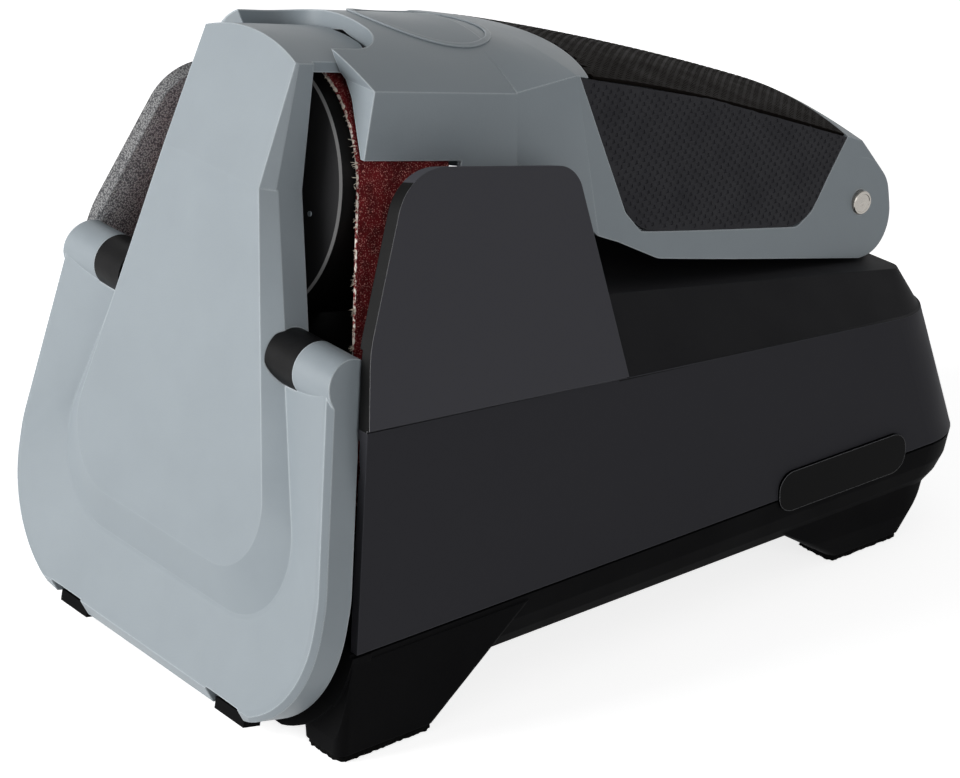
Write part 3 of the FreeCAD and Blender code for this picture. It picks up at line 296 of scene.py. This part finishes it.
front = mask("LESS_THAN", facing.outputs["Y"], FRONT_LIMIT)
left = mask("LESS_THAN", where, 0.0)
inner = mask("LESS_THAN", mask("MULTIPLY", where, facing.outputs["X"]), INNER_LIMIT)
brow = mask("LESS_THAN", facing.outputs["Y"], BROW_LIMIT)
grained = mask("MAXIMUM", inner, mask("MULTIPLY", brow, left))
dark = mask("MULTIPLY", front, mask("SUBTRACT", 1.0, left))
outer = mask("GREATER_THAN", facing.outputs["X"], 0.7)
# Painted highlight: a thin pale line on the outer face where the Bevel normal bends towards the front.
highlight_line = mask("MULTIPLY", mask("LESS_THAN", bent, -0.4), outer)
pebbles = add(tree, "TexVoronoi", {"Vector": spot.outputs["Object"], "Scale": per(PEBBLE)})
speckle = add(tree, "MapRange", {
    "Value": pebbles.outputs["Distance"], "From Min": 0.36, "From Max": 0.62})
# Grain of the inner faces: its near-white speckle is partly painted light for the light they catch.
grain_and_painted_light = add(tree, "MixRGB", {
    "Fac": speckle.outputs[0], 1: colour("#FFFFFF"), 2: colour("#8C8C90")})
# Painted shade: the brow's grain is darkened so the lit round top matches the shaded inner face.
shade = mask("SUBTRACT", 1.0, mask("MULTIPLY", brow, BROW_SHADE))
grain_and_painted_light = add(tree, "MixRGB", {"Fac": 1.0, 1: grain_and_painted_light.outputs[0], 2: shade}, blend_type="MULTIPLY")
tint = shader.inputs["Base Color"].links[0].from_socket
for share, chosen in (
        (grained, grain_and_painted_light.outputs[0]), (dark, colour("#060606")), (highlight_line, colour("#DADADC"))):
    tint = add(tree, "MixRGB", {"Fac": share, 1: tint, 2: chosen}).outputs[0]
tree.links.new(tint, shader.inputs["Base Color"])
coarse = add(tree, "Bump", {
    "Height": pebbles.outputs["Distance"], "Strength": mask("MULTIPLY", grained, 0.8),
    "Distance": 0.2 * MM, "Normal": shader.inputs["Normal"].links[0].from_socket}, invert=True)
tree.links.new(coarse.outputs[0], shader.inputs["Normal"])
print("plates", plate_abs.name)

# %% [markdown]
# ## Rubber
# The blade rests, the grips and the foot pads are soft thermoplastic rubber. Rubber scatters light
# more than a hard plastic, so it gets a rough surface, some sheen at grazing angles and a slightly
# blotchy shine from handling. The foot pads are a rough open rubber with a much deeper grain.

# %% Rubber
BLOTCH = 7.0


def rubber(name, base, roughness, grain, grain_depth, sheen, specular=0.25):
    """Soft rubber with a blotchy shine and a fine or coarse grain."""
    material, tree, shader, place = start_finish(name, base, roughness)
    shader.inputs["Specular IOR Level"].default_value = specular
    shader.inputs["Sheen Weight"].default_value = sheen
    shader.inputs["Sheen Roughness"].default_value = 0.5
    cloud = add(tree, "TexNoise", {"Vector": place, "Scale": per(BLOTCH), "Detail": 5.0})
    shine = add(tree, "MapRange", {
        "Value": cloud.outputs[0], "From Min": 0.3, "From Max": 0.7,
        "To Min": roughness - 0.08, "To Max": roughness + 0.08})
    tree.links.new(shine.outputs[0], shader.inputs["Roughness"])
    fine = add(tree, "TexNoise", {"Vector": place, "Scale": per(grain), "Detail": 3.0})
    dust = add(tree, "MapRange", {
        "Value": fine.outputs[0], "From Min": 0.4, "From Max": 0.8, "To Min": 0.8, "To Max": 1.5})
    tint = add(tree, "MixRGB", {
        "Fac": 1.0, 1: colour(base), 2: dust.outputs[0]}, blend_type="MULTIPLY")
    tree.links.new(tint.outputs[0], shader.inputs["Base Color"])
    bump = add(tree, "Bump", {
        "Height": fine.outputs[0], "Strength": 0.6, "Distance": grain_depth * MM})
    tree.links.new(bump.outputs[0], shader.inputs["Normal"])
    return material


side_rubber = rubber("charcoal_grip_rubber", "#26262A", 0.62, 0.35, 0.04, 0.03, 0.15)
top_rubber = rubber("brown_black_grip_rubber", "#0F0C0A", 0.7, 0.35, 0.04, 0.0, 0.03)
rod_rubber = rubber("black_rest_rubber", "#0B0B0C", 0.45, 0.5, 0.03, 0.0, 0.08)
pad_rubber = rubber("rough_foot_rubber", "#0A0A0A", 0.9, 0.8, 0.4, 0.0, 0.05)
print("rubbers", side_rubber.name, top_rubber.name, rod_rubber.name, pad_rubber.name)

# %% [markdown]
# ## The abrasive belt
# A sharpening belt is woven cloth with red-brown abrasive grain glued to its outside. Three things
# show: the grain sparkles in small pinkish specks, the glue makes darker patches, and the cut front
# edge shows the pale cloth. The front edge is found by measuring depth along the machine's leaning
# axis with a dot product, so the pale line follows the belt all the way round.

# %% Abrasive cloth
LEAN = math.radians(12.4)
TOE_Y = -105.2 * MM
LEAN_BACK = Vector((0.0, math.cos(LEAN), -math.sin(LEAN)))
LEAN_UP = Vector((0.0, math.sin(LEAN), math.cos(LEAN)))
BELT_FRONT = 15.0
FRAY = 1.1


def lean_point(x, depth, rise):
    """A point given in the machine's leaning frame, in millimetres."""
    return Vector((x * MM, TOE_Y, 0.0)) + (LEAN_BACK * depth + LEAN_UP * rise) * MM


belt_cloth, tree, shader, place = start_finish("abrasive_cloth", "#6A1518", 0.85)
shader.inputs["Specular IOR Level"].default_value = 0.2
grit = add(tree, "TexVoronoi", {"Vector": place, "Scale": per(0.55)})
patch = add(tree, "TexNoise", {"Vector": place, "Scale": per(3.0), "Detail": 4.0})
dark = add(tree, "MapRange", {"Value": patch.outputs[0], "From Min": 0.35, "From Max": 0.7})
glue = add(tree, "MixRGB", {"Fac": dark.outputs[0], 1: colour("#540E12"), 2: colour("#801B20")})
fleck = add(tree, "TexNoise", {"Vector": place, "Scale": per(0.27), "Detail": 0.0})
spark = add(tree, "MapRange", {"Value": fleck.outputs[0], "From Min": 0.63, "From Max": 0.76})
grain = add(tree, "MixRGB", {"Fac": spark.outputs[0], 1: glue.outputs[0], 2: colour("#E6A096")})
along = add(tree, "VectorMath", {0: place, 1: LEAN_BACK}, operation="DOT_PRODUCT")
edge_depth = TOE_Y * math.cos(LEAN) + BELT_FRONT * MM
torn = add(tree, "TexNoise", {"Vector": place, "Scale": per(0.9), "Detail": 3.0})
ragged = add(tree, "Math", {
    0: torn.outputs[0], 1: -FRAY * MM, 2: along.outputs["Value"]}, operation="MULTIPLY_ADD")
cut = add(tree, "MapRange", {
    "Value": ragged.outputs[0], "From Min": edge_depth - 0.62 * MM,
    "From Max": edge_depth - 0.5 * MM, "To Min": 1.0, "To Max": 0.0})
cloth = add(tree, "MixRGB", {"Fac": cut.outputs[0], 1: grain.outputs[0], 2: colour("#EFE6DC")})
tree.links.new(cloth.outputs[0], shader.inputs["Base Color"])
rough = add(tree, "Bump", {
    "Height": grit.outputs["Distance"], "Strength": 0.8, "Distance": 0.2 * MM})
tree.links.new(rough.outputs[0], shader.inputs["Normal"])
linen = rubber("frayed_linen", "#E2D8C8", 0.9, 0.3, 0.02, 0.2)
print("belt", belt_cloth.name, linen.name)

# %% [markdown]
# ## Metals
# The hinge pin is turned and polished, the axles and screws are plain bright steel, the motor can is
# drawn steel with faint scratches, and the frame plate is powder-coated. One function makes the
# bright ones: a metallic shader whose roughness is broken up by a stretched noise, like tool marks.

# %% Metals
def bright_metal(name, base, roughness, mark):
    """Bare metal with fine tool marks."""
    material, tree, shader, place = start_finish(name, base, roughness, 1.0)
    stretch = add(tree, "Mapping", {"Vector": place, "Scale": (6.0, 1.0, 1.0)})
    lines = add(tree, "TexNoise", {"Vector": stretch.outputs[0], "Scale": per(mark), "Detail": 3.0})
    shine = add(tree, "MapRange", {
        "Value": lines.outputs[0], "From Min": 0.3, "From Max": 0.7,
        "To Min": roughness * 0.75, "To Max": roughness * 1.3})
    tree.links.new(shine.outputs[0], shader.inputs["Roughness"])
    bump = add(tree, "Bump", {"Height": lines.outputs[0], "Strength": 0.25, "Distance": 0.02 * MM})
    tree.links.new(bump.outputs[0], shader.inputs["Normal"])
    return material


polished = bright_metal("polished_steel", "#A9A59F", 0.24, 2.0)
steel = bright_metal("turned_steel", "#B4B4B6", 0.34, 1.0)
drawn = bright_metal("drawn_steel", "#A2A2A5", 0.42, 1.5)
brass = bright_metal("bright_brass", "#C9A24E", 0.3, 1.0)
powder = moulded("black_powder_coat", "#1B1B1D", "#48484B", 0.6, 0.5, 0.12, 0.3, specular=0.3)
solder_mask = moulded("green_solder_mask", "#1E5A38", "#3F8A5C", 0.35, 1.2, 0.02, 0.2)
print("metals", [m.name for m in (polished, steel, drawn, brass, powder, solder_mask)])

# %% [markdown]
# ## The upper pulley
# The pulley is turned from black plastic. Its flat face is satin, its rim is painted near black as a
# painted shadow, and the chamfer between them is painted pale as a painted highlight. The dot product
# of the normal and the pulley's own axis tells the three apart: near -1 on the front face, near 0 on
# the rim, and between the two on the chamfer.

# %% Pulley plastic
RIM_LIMIT = -0.3
CHAMFER_RANGE = (-0.95, -0.4)

pulley_nylon, tree, shader, _ = start_finish("turned_black_nylon", "#1A1A1B", 0.5)
shader.inputs["Specular IOR Level"].default_value = 0.12
normal = add(tree, "TexCoord").outputs["Normal"]
axial = add(tree, "VectorMath", {0: normal, 1: LEAN_BACK}, operation="DOT_PRODUCT").outputs["Value"]
# Painted shadow on the rim (near black) and painted highlight on the chamfer (pale grey).
rim = mask("GREATER_THAN", axial, RIM_LIMIT)
chamfer_highlight = mask("LESS_THAN", axial, CHAMFER_RANGE[1])
chamfer_highlight = mask("MULTIPLY", chamfer_highlight, mask("GREATER_THAN", axial, CHAMFER_RANGE[0]))
tint = colour("#1F1F20")
for share, chosen in ((rim, colour("#050505")), (chamfer_highlight, colour("#767676"))):
    tint = add(tree, "MixRGB", {"Fac": share, 1: tint, 2: chosen}).outputs[0]
tree.links.new(tint, shader.inputs["Base Color"])
print("pulley", pulley_nylon.name)

# %% [markdown]
# ## Finishes on the solids
# Each solid of the machine has a slot that names its finish. The table below joins the two, and two
# solids then get a finish of their own.

# %% Finishes
finishes = {
    "cover_grey": grey_abs, "housing_black": black_abs, "plate_black": plate_abs,
    "grip_side": side_rubber, "grip_top": top_rubber, "rest_rubber": rod_rubber,
    "pad_rubber": pad_rubber, "badge_gloss": gloss_abs, "belt_cloth": belt_cloth,
    "pulley_black": nylon, "polished_steel": polished, "steel": steel, "frame_metal": powder,
    "motor_metal": drawn, "board_green": solder_mask, "button_grey": button_abs, "brass": brass,
}
for part in frame["record"]["subparts"]:
    node = nodes[part["node"]]
    node.data.materials.clear()
    node.data.materials.append(finishes[part["material_slot"]])
nodes["base_tray"].data.materials[0] = tray_abs
nodes["upper_pulley"].data.materials[0] = pulley_nylon

# %% [markdown]
# ## Three helpers for the modelled pieces
# The pieces below are all made the same way: a primitive, a few edit-mode steps, then modifiers that
# are applied. These helpers enter edit mode with nothing selected, select faces by a rule, and settle
# a finished piece: its place goes into the mesh, it gets its finish, and it joins the body it rides on.

# %% Helpers
def edit(piece, mode="FACE"):
    """Edit mode on one piece with nothing selected."""
    bpy.ops.object.select_all(action="DESELECT")
    piece.select_set(True)
    bpy.context.view_layer.objects.active = piece
    bpy.ops.object.mode_set(mode="EDIT")
    bpy.ops.mesh.select_mode(type=mode)
    bpy.ops.mesh.select_all(action="DESELECT")


def pick(piece, rule):
    """Select the faces that a rule accepts, and stay in edit mode."""
    bpy.ops.object.mode_set(mode="OBJECT")
    for face in piece.data.polygons:
        face.select = rule(face)
    bpy.ops.object.mode_set(mode="EDIT")


def settle(piece, name, body, finish, slot, *replaced):
    """Bake the place into the mesh, apply the modifiers, and hang the piece on its body."""
    if piece.mode == "EDIT":
        bpy.ops.object.mode_set(mode="OBJECT")
    bpy.ops.object.select_all(action="DESELECT")
    piece.select_set(True)
    bpy.context.view_layer.objects.active = piece
    for modifier in list(piece.modifiers):
        bpy.ops.object.modifier_apply(modifier=modifier.name)
    bpy.ops.object.transform_apply(location=True, rotation=True, scale=True)
    piece.name = name
    piece.data.materials.clear()
    piece.data.materials.append(finish)
    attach(piece, body)
    if replaced:
        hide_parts(*replaced)
    print(name, len(piece.data.polygons), "faces")


# %% [markdown]
# ## Dimpled side grips
# The soft inlays on the hood's flanks carry staggered pits. A flat grid is trimmed to the inlay's
# outline with one bisect per side, and a Shrinkwrap modifier lays it on the curved flank. Then every
# second whole cell is inset and pushed in along its own normal, which keeps the pits square to the
# surface. Solidify makes the sheet a skin that fills the pocket in the hood.

# %% Side grips
PIT_CELL = 1.22
PIT_RIM = 0.16
PIT_DEEP = 0.2
GRIP_SKIN = 0.9
GRIP_MARGIN = 0.12
SIDE_COLUMNS = 94
SIDE_ROWS = 58
SIDE_AWAY = 60.0
SIDE_CENTRE = Vector((0.0, 39.0, 107.0)) * MM
SIDE_CORNERS = [
    (-3.0, 132.2, 0.0), (6.16, 95.23, 7.4), (63.84, 81.95, 7.3), (82.0, 99.5, 0.0),
    (37.2, 118.6, 0.0)]
ROUND_STEPS = 5


def rounded(corners):
    """Outline points of a polygon whose corners are eased by a short curve."""
    points = []
    for i, (y, z, ease) in enumerate(corners):
        here = Vector((0.0, y, z)) * MM
        if not ease:
            points.append(here)
            continue
        before = Vector((0.0, *corners[i - 1][:2])) * MM - here
        after = Vector((0.0, *corners[(i + 1) % len(corners)][:2])) * MM - here
        start = here + before.normalized() * ease * MM
        end = here + after.normalized() * ease * MM
        for step in range(ROUND_STEPS + 1):
            share = step / ROUND_STEPS
            points.append(start.lerp(here, share).lerp(here.lerp(end, share), share))
    return points


def flat_sheet(columns, rows, cell, place, turn=(0.0, 0.0, 0.0)):
    """A flat grid of square cells at its place."""
    bpy.ops.mesh.primitive_grid_add(
        x_subdivisions=columns, y_subdivisions=rows, size=1.0, location=place, rotation=turn)
    sheet = bpy.context.object
    sheet.scale = (columns * cell * MM, rows * cell * MM, 1.0)
    bpy.ops.object.transform_apply(location=True, rotation=True, scale=True)
    return sheet


def trim(sheet, point, outward, rule=lambda face: True):
    """Cut the faces that a rule accepts with a plane and drop what lies beyond it."""
    edit(sheet)
    pick(sheet, rule)
    bpy.ops.mesh.bisect(plane_co=point, plane_no=outward, clear_outer=True)
    bpy.ops.object.mode_set(mode="OBJECT")


def lay_on(sheet, node, axis):
    """Shrinkwrap a sheet onto a solid along one axis."""
    wrap = sheet.modifiers.new("lay", "SHRINKWRAP")
    wrap.target = node
    wrap.wrap_method = "PROJECT"
    wrap.use_project_x = axis == "X"
    wrap.use_project_z = axis == "Z"
    wrap.use_negative_direction = True
    wrap.use_positive_direction = True
    bpy.context.view_layer.objects.active = sheet
    bpy.ops.object.modifier_apply(modifier=wrap.name)


def stud(sheet, first, second, cell, centre, rim, step):
    """Inset every second whole cell, found by its centre on two axes, and push it by a step."""
    def whole(face):
        across = (face.center[first] - centre[first]) / (cell * MM)
        along = (face.center[second] - centre[second]) / (cell * MM)
        column = math.floor(across)
        row = math.floor(along)
        inside = max(abs(across - column - 0.5), abs(along - row - 0.5)) < 0.05
        return inside and (column + row) % 2 == 0

    edit(sheet)
    pick(sheet, whole)
    bpy.ops.mesh.inset(thickness=rim * MM, use_individual=True)
    bpy.ops.mesh.inset(thickness=abs(step) * 0.6 * MM, depth=step * MM, use_individual=True)
    bpy.ops.object.mode_set(mode="OBJECT")
    skin = sheet.modifiers.new("skin", "SOLIDIFY")
    skin.thickness = GRIP_SKIN * MM
    skin.offset = -1.0


for side, name in ((1, "right"), (-1, "left")):
    turn = (math.radians(90.0), 0.0, math.radians(90.0 * side))
    beside = SIDE_CENTRE + Vector((side * SIDE_AWAY * MM, 0.0, 0.0))
    sheet = flat_sheet(SIDE_COLUMNS, SIDE_ROWS, PIT_CELL, beside, turn)
    outline = rounded(SIDE_CORNERS)
    for i, corner in enumerate(outline):
        here = outline[i - 1]
        along = corner - here
        outward = Vector((0.0, -along.z, along.y)).normalized()
        if outward.dot(SIDE_CENTRE - here) > 0.0:
            outward.negate()
        trim(sheet, here - outward * GRIP_MARGIN * MM, outward)
    lay_on(sheet, nodes["hood_grip_" + name], "X")
    stud(sheet, 1, 2, PIT_CELL, SIDE_CENTRE, PIT_RIM, -PIT_DEEP)
    settle(sheet, "dimpled_grip_" + name, "hood", side_rubber, "grip_side", "hood_grip_" + name)

# %% [markdown]
# ## Nubbed top grip
# The palm rests on a darker inlay with fine raised nubs. It is the same kind of sheet, laid on the
# crown from above, with the cells pushed out in place of in. Its front edge is bowed inwards. One
# plane can't cut that, so the sheet is trimmed strip by strip, each along a short chord of the bow.

# %% Top grip
NUB_CELL = 1.24
NUB_RIM = 0.22
NUB_HIGH = 0.07
TOP_COLUMNS = 56
TOP_ROWS = 78
TOP_LEVEL = 150.0
TOP_CENTRE = Vector((0.0, 36.0, TOP_LEVEL)) * MM
TOP_HALF = 31.1
TOP_REAR = 81.6
BOW_Y = -61.0
BOW_RADIUS = 68.4
STRIP_CELLS = 4
STRIP = STRIP_CELLS * NUB_CELL

sheet = flat_sheet(TOP_COLUMNS, TOP_ROWS, NUB_CELL, TOP_CENTRE)


def bow(x):
    """Y of the bowed front edge at an X, in millimetres."""
    return BOW_Y + math.sqrt(BOW_RADIUS ** 2 - x ** 2)


strips = TOP_COLUMNS // STRIP_CELLS
for i in range(strips):
    start = (i - strips // 2) * STRIP
    stop = start + STRIP
    chord = Vector((STRIP, bow(stop) - bow(start), 0.0)).normalized()
    outward = Vector((chord.y, -chord.x, 0.0))
    trim(sheet, Vector((start, bow(start), TOP_LEVEL)) * MM, outward,
         lambda face: start * MM < face.center.x < stop * MM)
for point, outward in (
        ((TOP_HALF, 0), (1, 0, 0)), ((-TOP_HALF, 0), (-1, 0, 0)), ((0, TOP_REAR), (0, 1, 0))):
    trim(sheet, Vector((*point, TOP_LEVEL)) * MM, outward)
lay_on(sheet, nodes["hood_grip_top"], "Z")
stud(sheet, 0, 1, NUB_CELL, TOP_CENTRE, NUB_RIM, NUB_HIGH)
settle(sheet, "nubbed_grip_top", "hood", top_rubber, "grip_top", "hood_grip_top")

# %% [markdown]
# ## Ring on the hood
# A thin raised ring sits on the crown of the hood. A filled circle is inset once and its middle face
# deleted, which leaves a flat band. The same Shrinkwrap bends the band over the crown. Solidify raises
# it a little and a Bevel rounds its edges.

# %% Crown ring
RING_DEPTH = 47.2
RING_START = 160.0
RING_OUTER = 16.7
RING_BAND = 1.5
RING_HIGH = 0.45
RING_EASE = 0.15

bpy.ops.mesh.primitive_circle_add(
    vertices=128, radius=RING_OUTER * MM, fill_type="NGON",
    location=lean_point(0.0, RING_DEPTH, RING_START), rotation=(-LEAN, 0.0, 0.0))
ring = bpy.context.object
bpy.ops.object.transform_apply(location=True, rotation=True, scale=True)
edit(ring)
bpy.ops.mesh.select_all(action="SELECT")
bpy.ops.mesh.inset(thickness=RING_BAND * MM)
bpy.ops.mesh.delete(type="FACE")
bpy.ops.object.mode_set(mode="OBJECT")
lay_on(ring, nodes["hood_shell"], "Z")
raised = ring.modifiers.new("raised", "SOLIDIFY")
raised.thickness = RING_HIGH * MM
raised.offset = 1.0
soft = ring.modifiers.new("soft", "BEVEL")
soft.width = RING_EASE * MM
soft.segments = 2
settle(ring, "crown_ring", "hood", grey_abs, "cover_grey")

# %% [markdown]
# ## Hinge pin ends
# The hood swings on a turned pin, and its polished end shows on each side. Each end is a short
# cylinder. Its outer face is inset for the turned rim, pushed in, and inset again for the small
# centre mark that the lathe leaves. Each step below is the width of a band and its depth.

# %% Pin ends
PIN_PLACE = Vector((35.2, 84.5, 82.8))
PIN_RADIUS = 2.95
PIN_CAP = 0.8
PIN_SINK = 0.1
PIN_STEPS = ((0.2, 0.2), (0.4, 0.0), (0.12, -0.15), (1.6, 0.0), (0.12, -0.08))

for side, name in ((1, "right"), (-1, "left")):
    bpy.ops.mesh.primitive_cylinder_add(
        vertices=48, radius=PIN_RADIUS * MM, depth=PIN_CAP * MM,
        rotation=(0.0, math.radians(90.0), 0.0),
        location=(side * (PIN_PLACE.x - PIN_SINK) * MM, PIN_PLACE.y * MM, PIN_PLACE.z * MM))
    cap = bpy.context.object
    bpy.ops.object.transform_apply(location=True, rotation=True, scale=True)
    edit(cap)
    pick(cap, lambda face: face.normal.x * side > 0.9)
    for band, depth in PIN_STEPS:
        bpy.ops.mesh.inset(thickness=band * MM, depth=depth * MM)
    settle(cap, "hinge_pin_end_" + name, "base", polished, "polished_steel")
    bpy.ops.object.shade_smooth_by_angle(angle=math.radians(35.0))

# %% [markdown]
# ## Foot pads
# The feet stand on rough open rubber that tears a little at its edges. Each pad starts as a copy of
# its plain block. Remesh gives it an even net of small faces, and a Displace modifier with a cloud
# texture eats into it. The middle level of 1 lets the texture only remove rubber, so the pad never
# grows below the bench or out of its foot.

# %% Foot pads
PAD_NET = 0.45
PAD_TEAR = 0.6
TEAR_SIZE = 1.1

tear = bpy.data.textures.new("torn_rubber", "CLOUDS")
tear.noise_scale = TEAR_SIZE * MM
tear.noise_depth = 2
for name in ("front_right", "front_left", "rear_right", "rear_left"):
    node = nodes["foot_pad_" + name]
    pad = bpy.data.objects.new("torn_pad_" + name, node.data.copy())
    bpy.context.scene.collection.objects.link(pad)
    edit(pad)
    bpy.ops.mesh.select_all(action="SELECT")
    bpy.ops.mesh.remove_doubles(threshold=0.01 * MM)
    bpy.ops.object.mode_set(mode="OBJECT")
    net = pad.modifiers.new("net", "REMESH")
    net.mode = "VOXEL"
    net.voxel_size = PAD_NET * MM
    torn = pad.modifiers.new("torn", "DISPLACE")
    torn.texture = tear
    torn.texture_coords = "LOCAL"
    torn.mid_level = 1.0
    torn.strength = PAD_TEAR * MM
    settle(pad, "torn_pad_" + name, "base", pad_rubber, "pad_rubber", "foot_pad_" + name)

# %% [markdown]
# ## Frayed edge of the belt
# The cloth of a cut belt frays, and short pale threads stand out along its front edge. A thread is a
# thin three-sided cone. They are added in edit mode into one mesh, at random steps along the belt's
# path. The path has two arcs and straight runs between the pulley and the two lower rollers.

# %% Belt threads
PULLEY = Vector((0.0, 118.0))
ROLLER = Vector((33.6, 58.0))
BELT_ROUND = 30.2
ROLLER_ROUND = 10.7
TUFTS = 46
THREADS_EACH = 6
THREAD_THIN = 0.08
THREAD_THICK = 0.16
THREAD_TIP = 0.04

draw = random.Random(11)
apart = PULLEY - ROLLER
swing = math.acos((BELT_ROUND - ROLLER_ROUND) / apart.length)
bearing = math.atan2(-apart.y, -apart.x)
touch = bearing + swing
spot_high = PULLEY + Vector((math.cos(touch), math.sin(touch))) * BELT_ROUND
spot_low = ROLLER + Vector((math.cos(touch), math.sin(touch))) * ROLLER_ROUND


def belt_place(share):
    """A point on the belt's front edge, from one lower roller over the pulley to the other."""
    run = (spot_high - spot_low).length
    arc = (math.pi - 2.0 * touch) * BELT_ROUND
    way = share * (2.0 * run + arc)
    if way < run:
        return spot_low.lerp(spot_high, way / run)
    if way > run + arc:
        back = spot_low.lerp(spot_high, (2.0 * run + arc - way) / run)
        return Vector((-back.x, back.y))
    angle = touch + (way - run) / BELT_ROUND
    return PULLEY + Vector((math.cos(angle), math.sin(angle))) * BELT_ROUND


bpy.ops.mesh.primitive_cone_add(
    vertices=3, radius1=THREAD_THIN * MM, depth=1.0 * MM,
    location=lean_point(0.0, BELT_FRONT, PULLEY.y + BELT_ROUND))
threads = bpy.context.object
bpy.ops.object.transform_apply(location=True, rotation=True, scale=True)
edit(threads)
for tuft in range(TUFTS):
    middle = (tuft + draw.random()) / TUFTS
    reach = draw.uniform(0.5, 1.6)
    for _ in range(THREADS_EACH):
        spot = belt_place(min(max(middle + draw.gauss(0.0, 0.004), 0.0), 1.0))
        long = reach * draw.uniform(0.5, 1.1)
        way = Vector((draw.gauss(0.0, 0.4), -1.0, draw.gauss(0.0, 0.4)))
        thick = draw.uniform(THREAD_THIN, THREAD_THICK)
        root = lean_point(spot.x + draw.uniform(-0.2, 0.4), BELT_FRONT - long * 0.4, spot.y)
        bpy.ops.mesh.primitive_cone_add(
            vertices=3, radius1=thick * MM, radius2=THREAD_TIP * MM, depth=long * MM,
            location=root, rotation=way.to_track_quat("Z", "Y").to_euler())
settle(threads, "frayed_threads", "base", linen, "belt_cloth")

# %% [markdown]
# ## Balance mark on the pulley
# A small pale plug is pressed into the face of the upper pulley. It makes the turning easy to see. A
# short cylinder with an inset top is enough at this size.

# %% Pulley dot
DOT_RADIUS = 0.6
DOT_DEPTH = 0.5
DOT_PLACE = (19.6, 10.95, 116.4)

bpy.ops.mesh.primitive_cylinder_add(
    vertices=24, radius=DOT_RADIUS * MM, depth=DOT_DEPTH * MM, location=lean_point(*DOT_PLACE),
    rotation=(math.radians(90.0) - LEAN, 0.0, 0.0))
dot = bpy.context.object
bpy.ops.object.transform_apply(location=True, rotation=True, scale=True)
edit(dot)
pick(dot, lambda face: face.normal.y < -0.9)
bpy.ops.mesh.inset(thickness=0.15 * MM, depth=-0.1 * MM)
settle(dot, "pulley_dot", "pulley", button_abs, "button_grey")
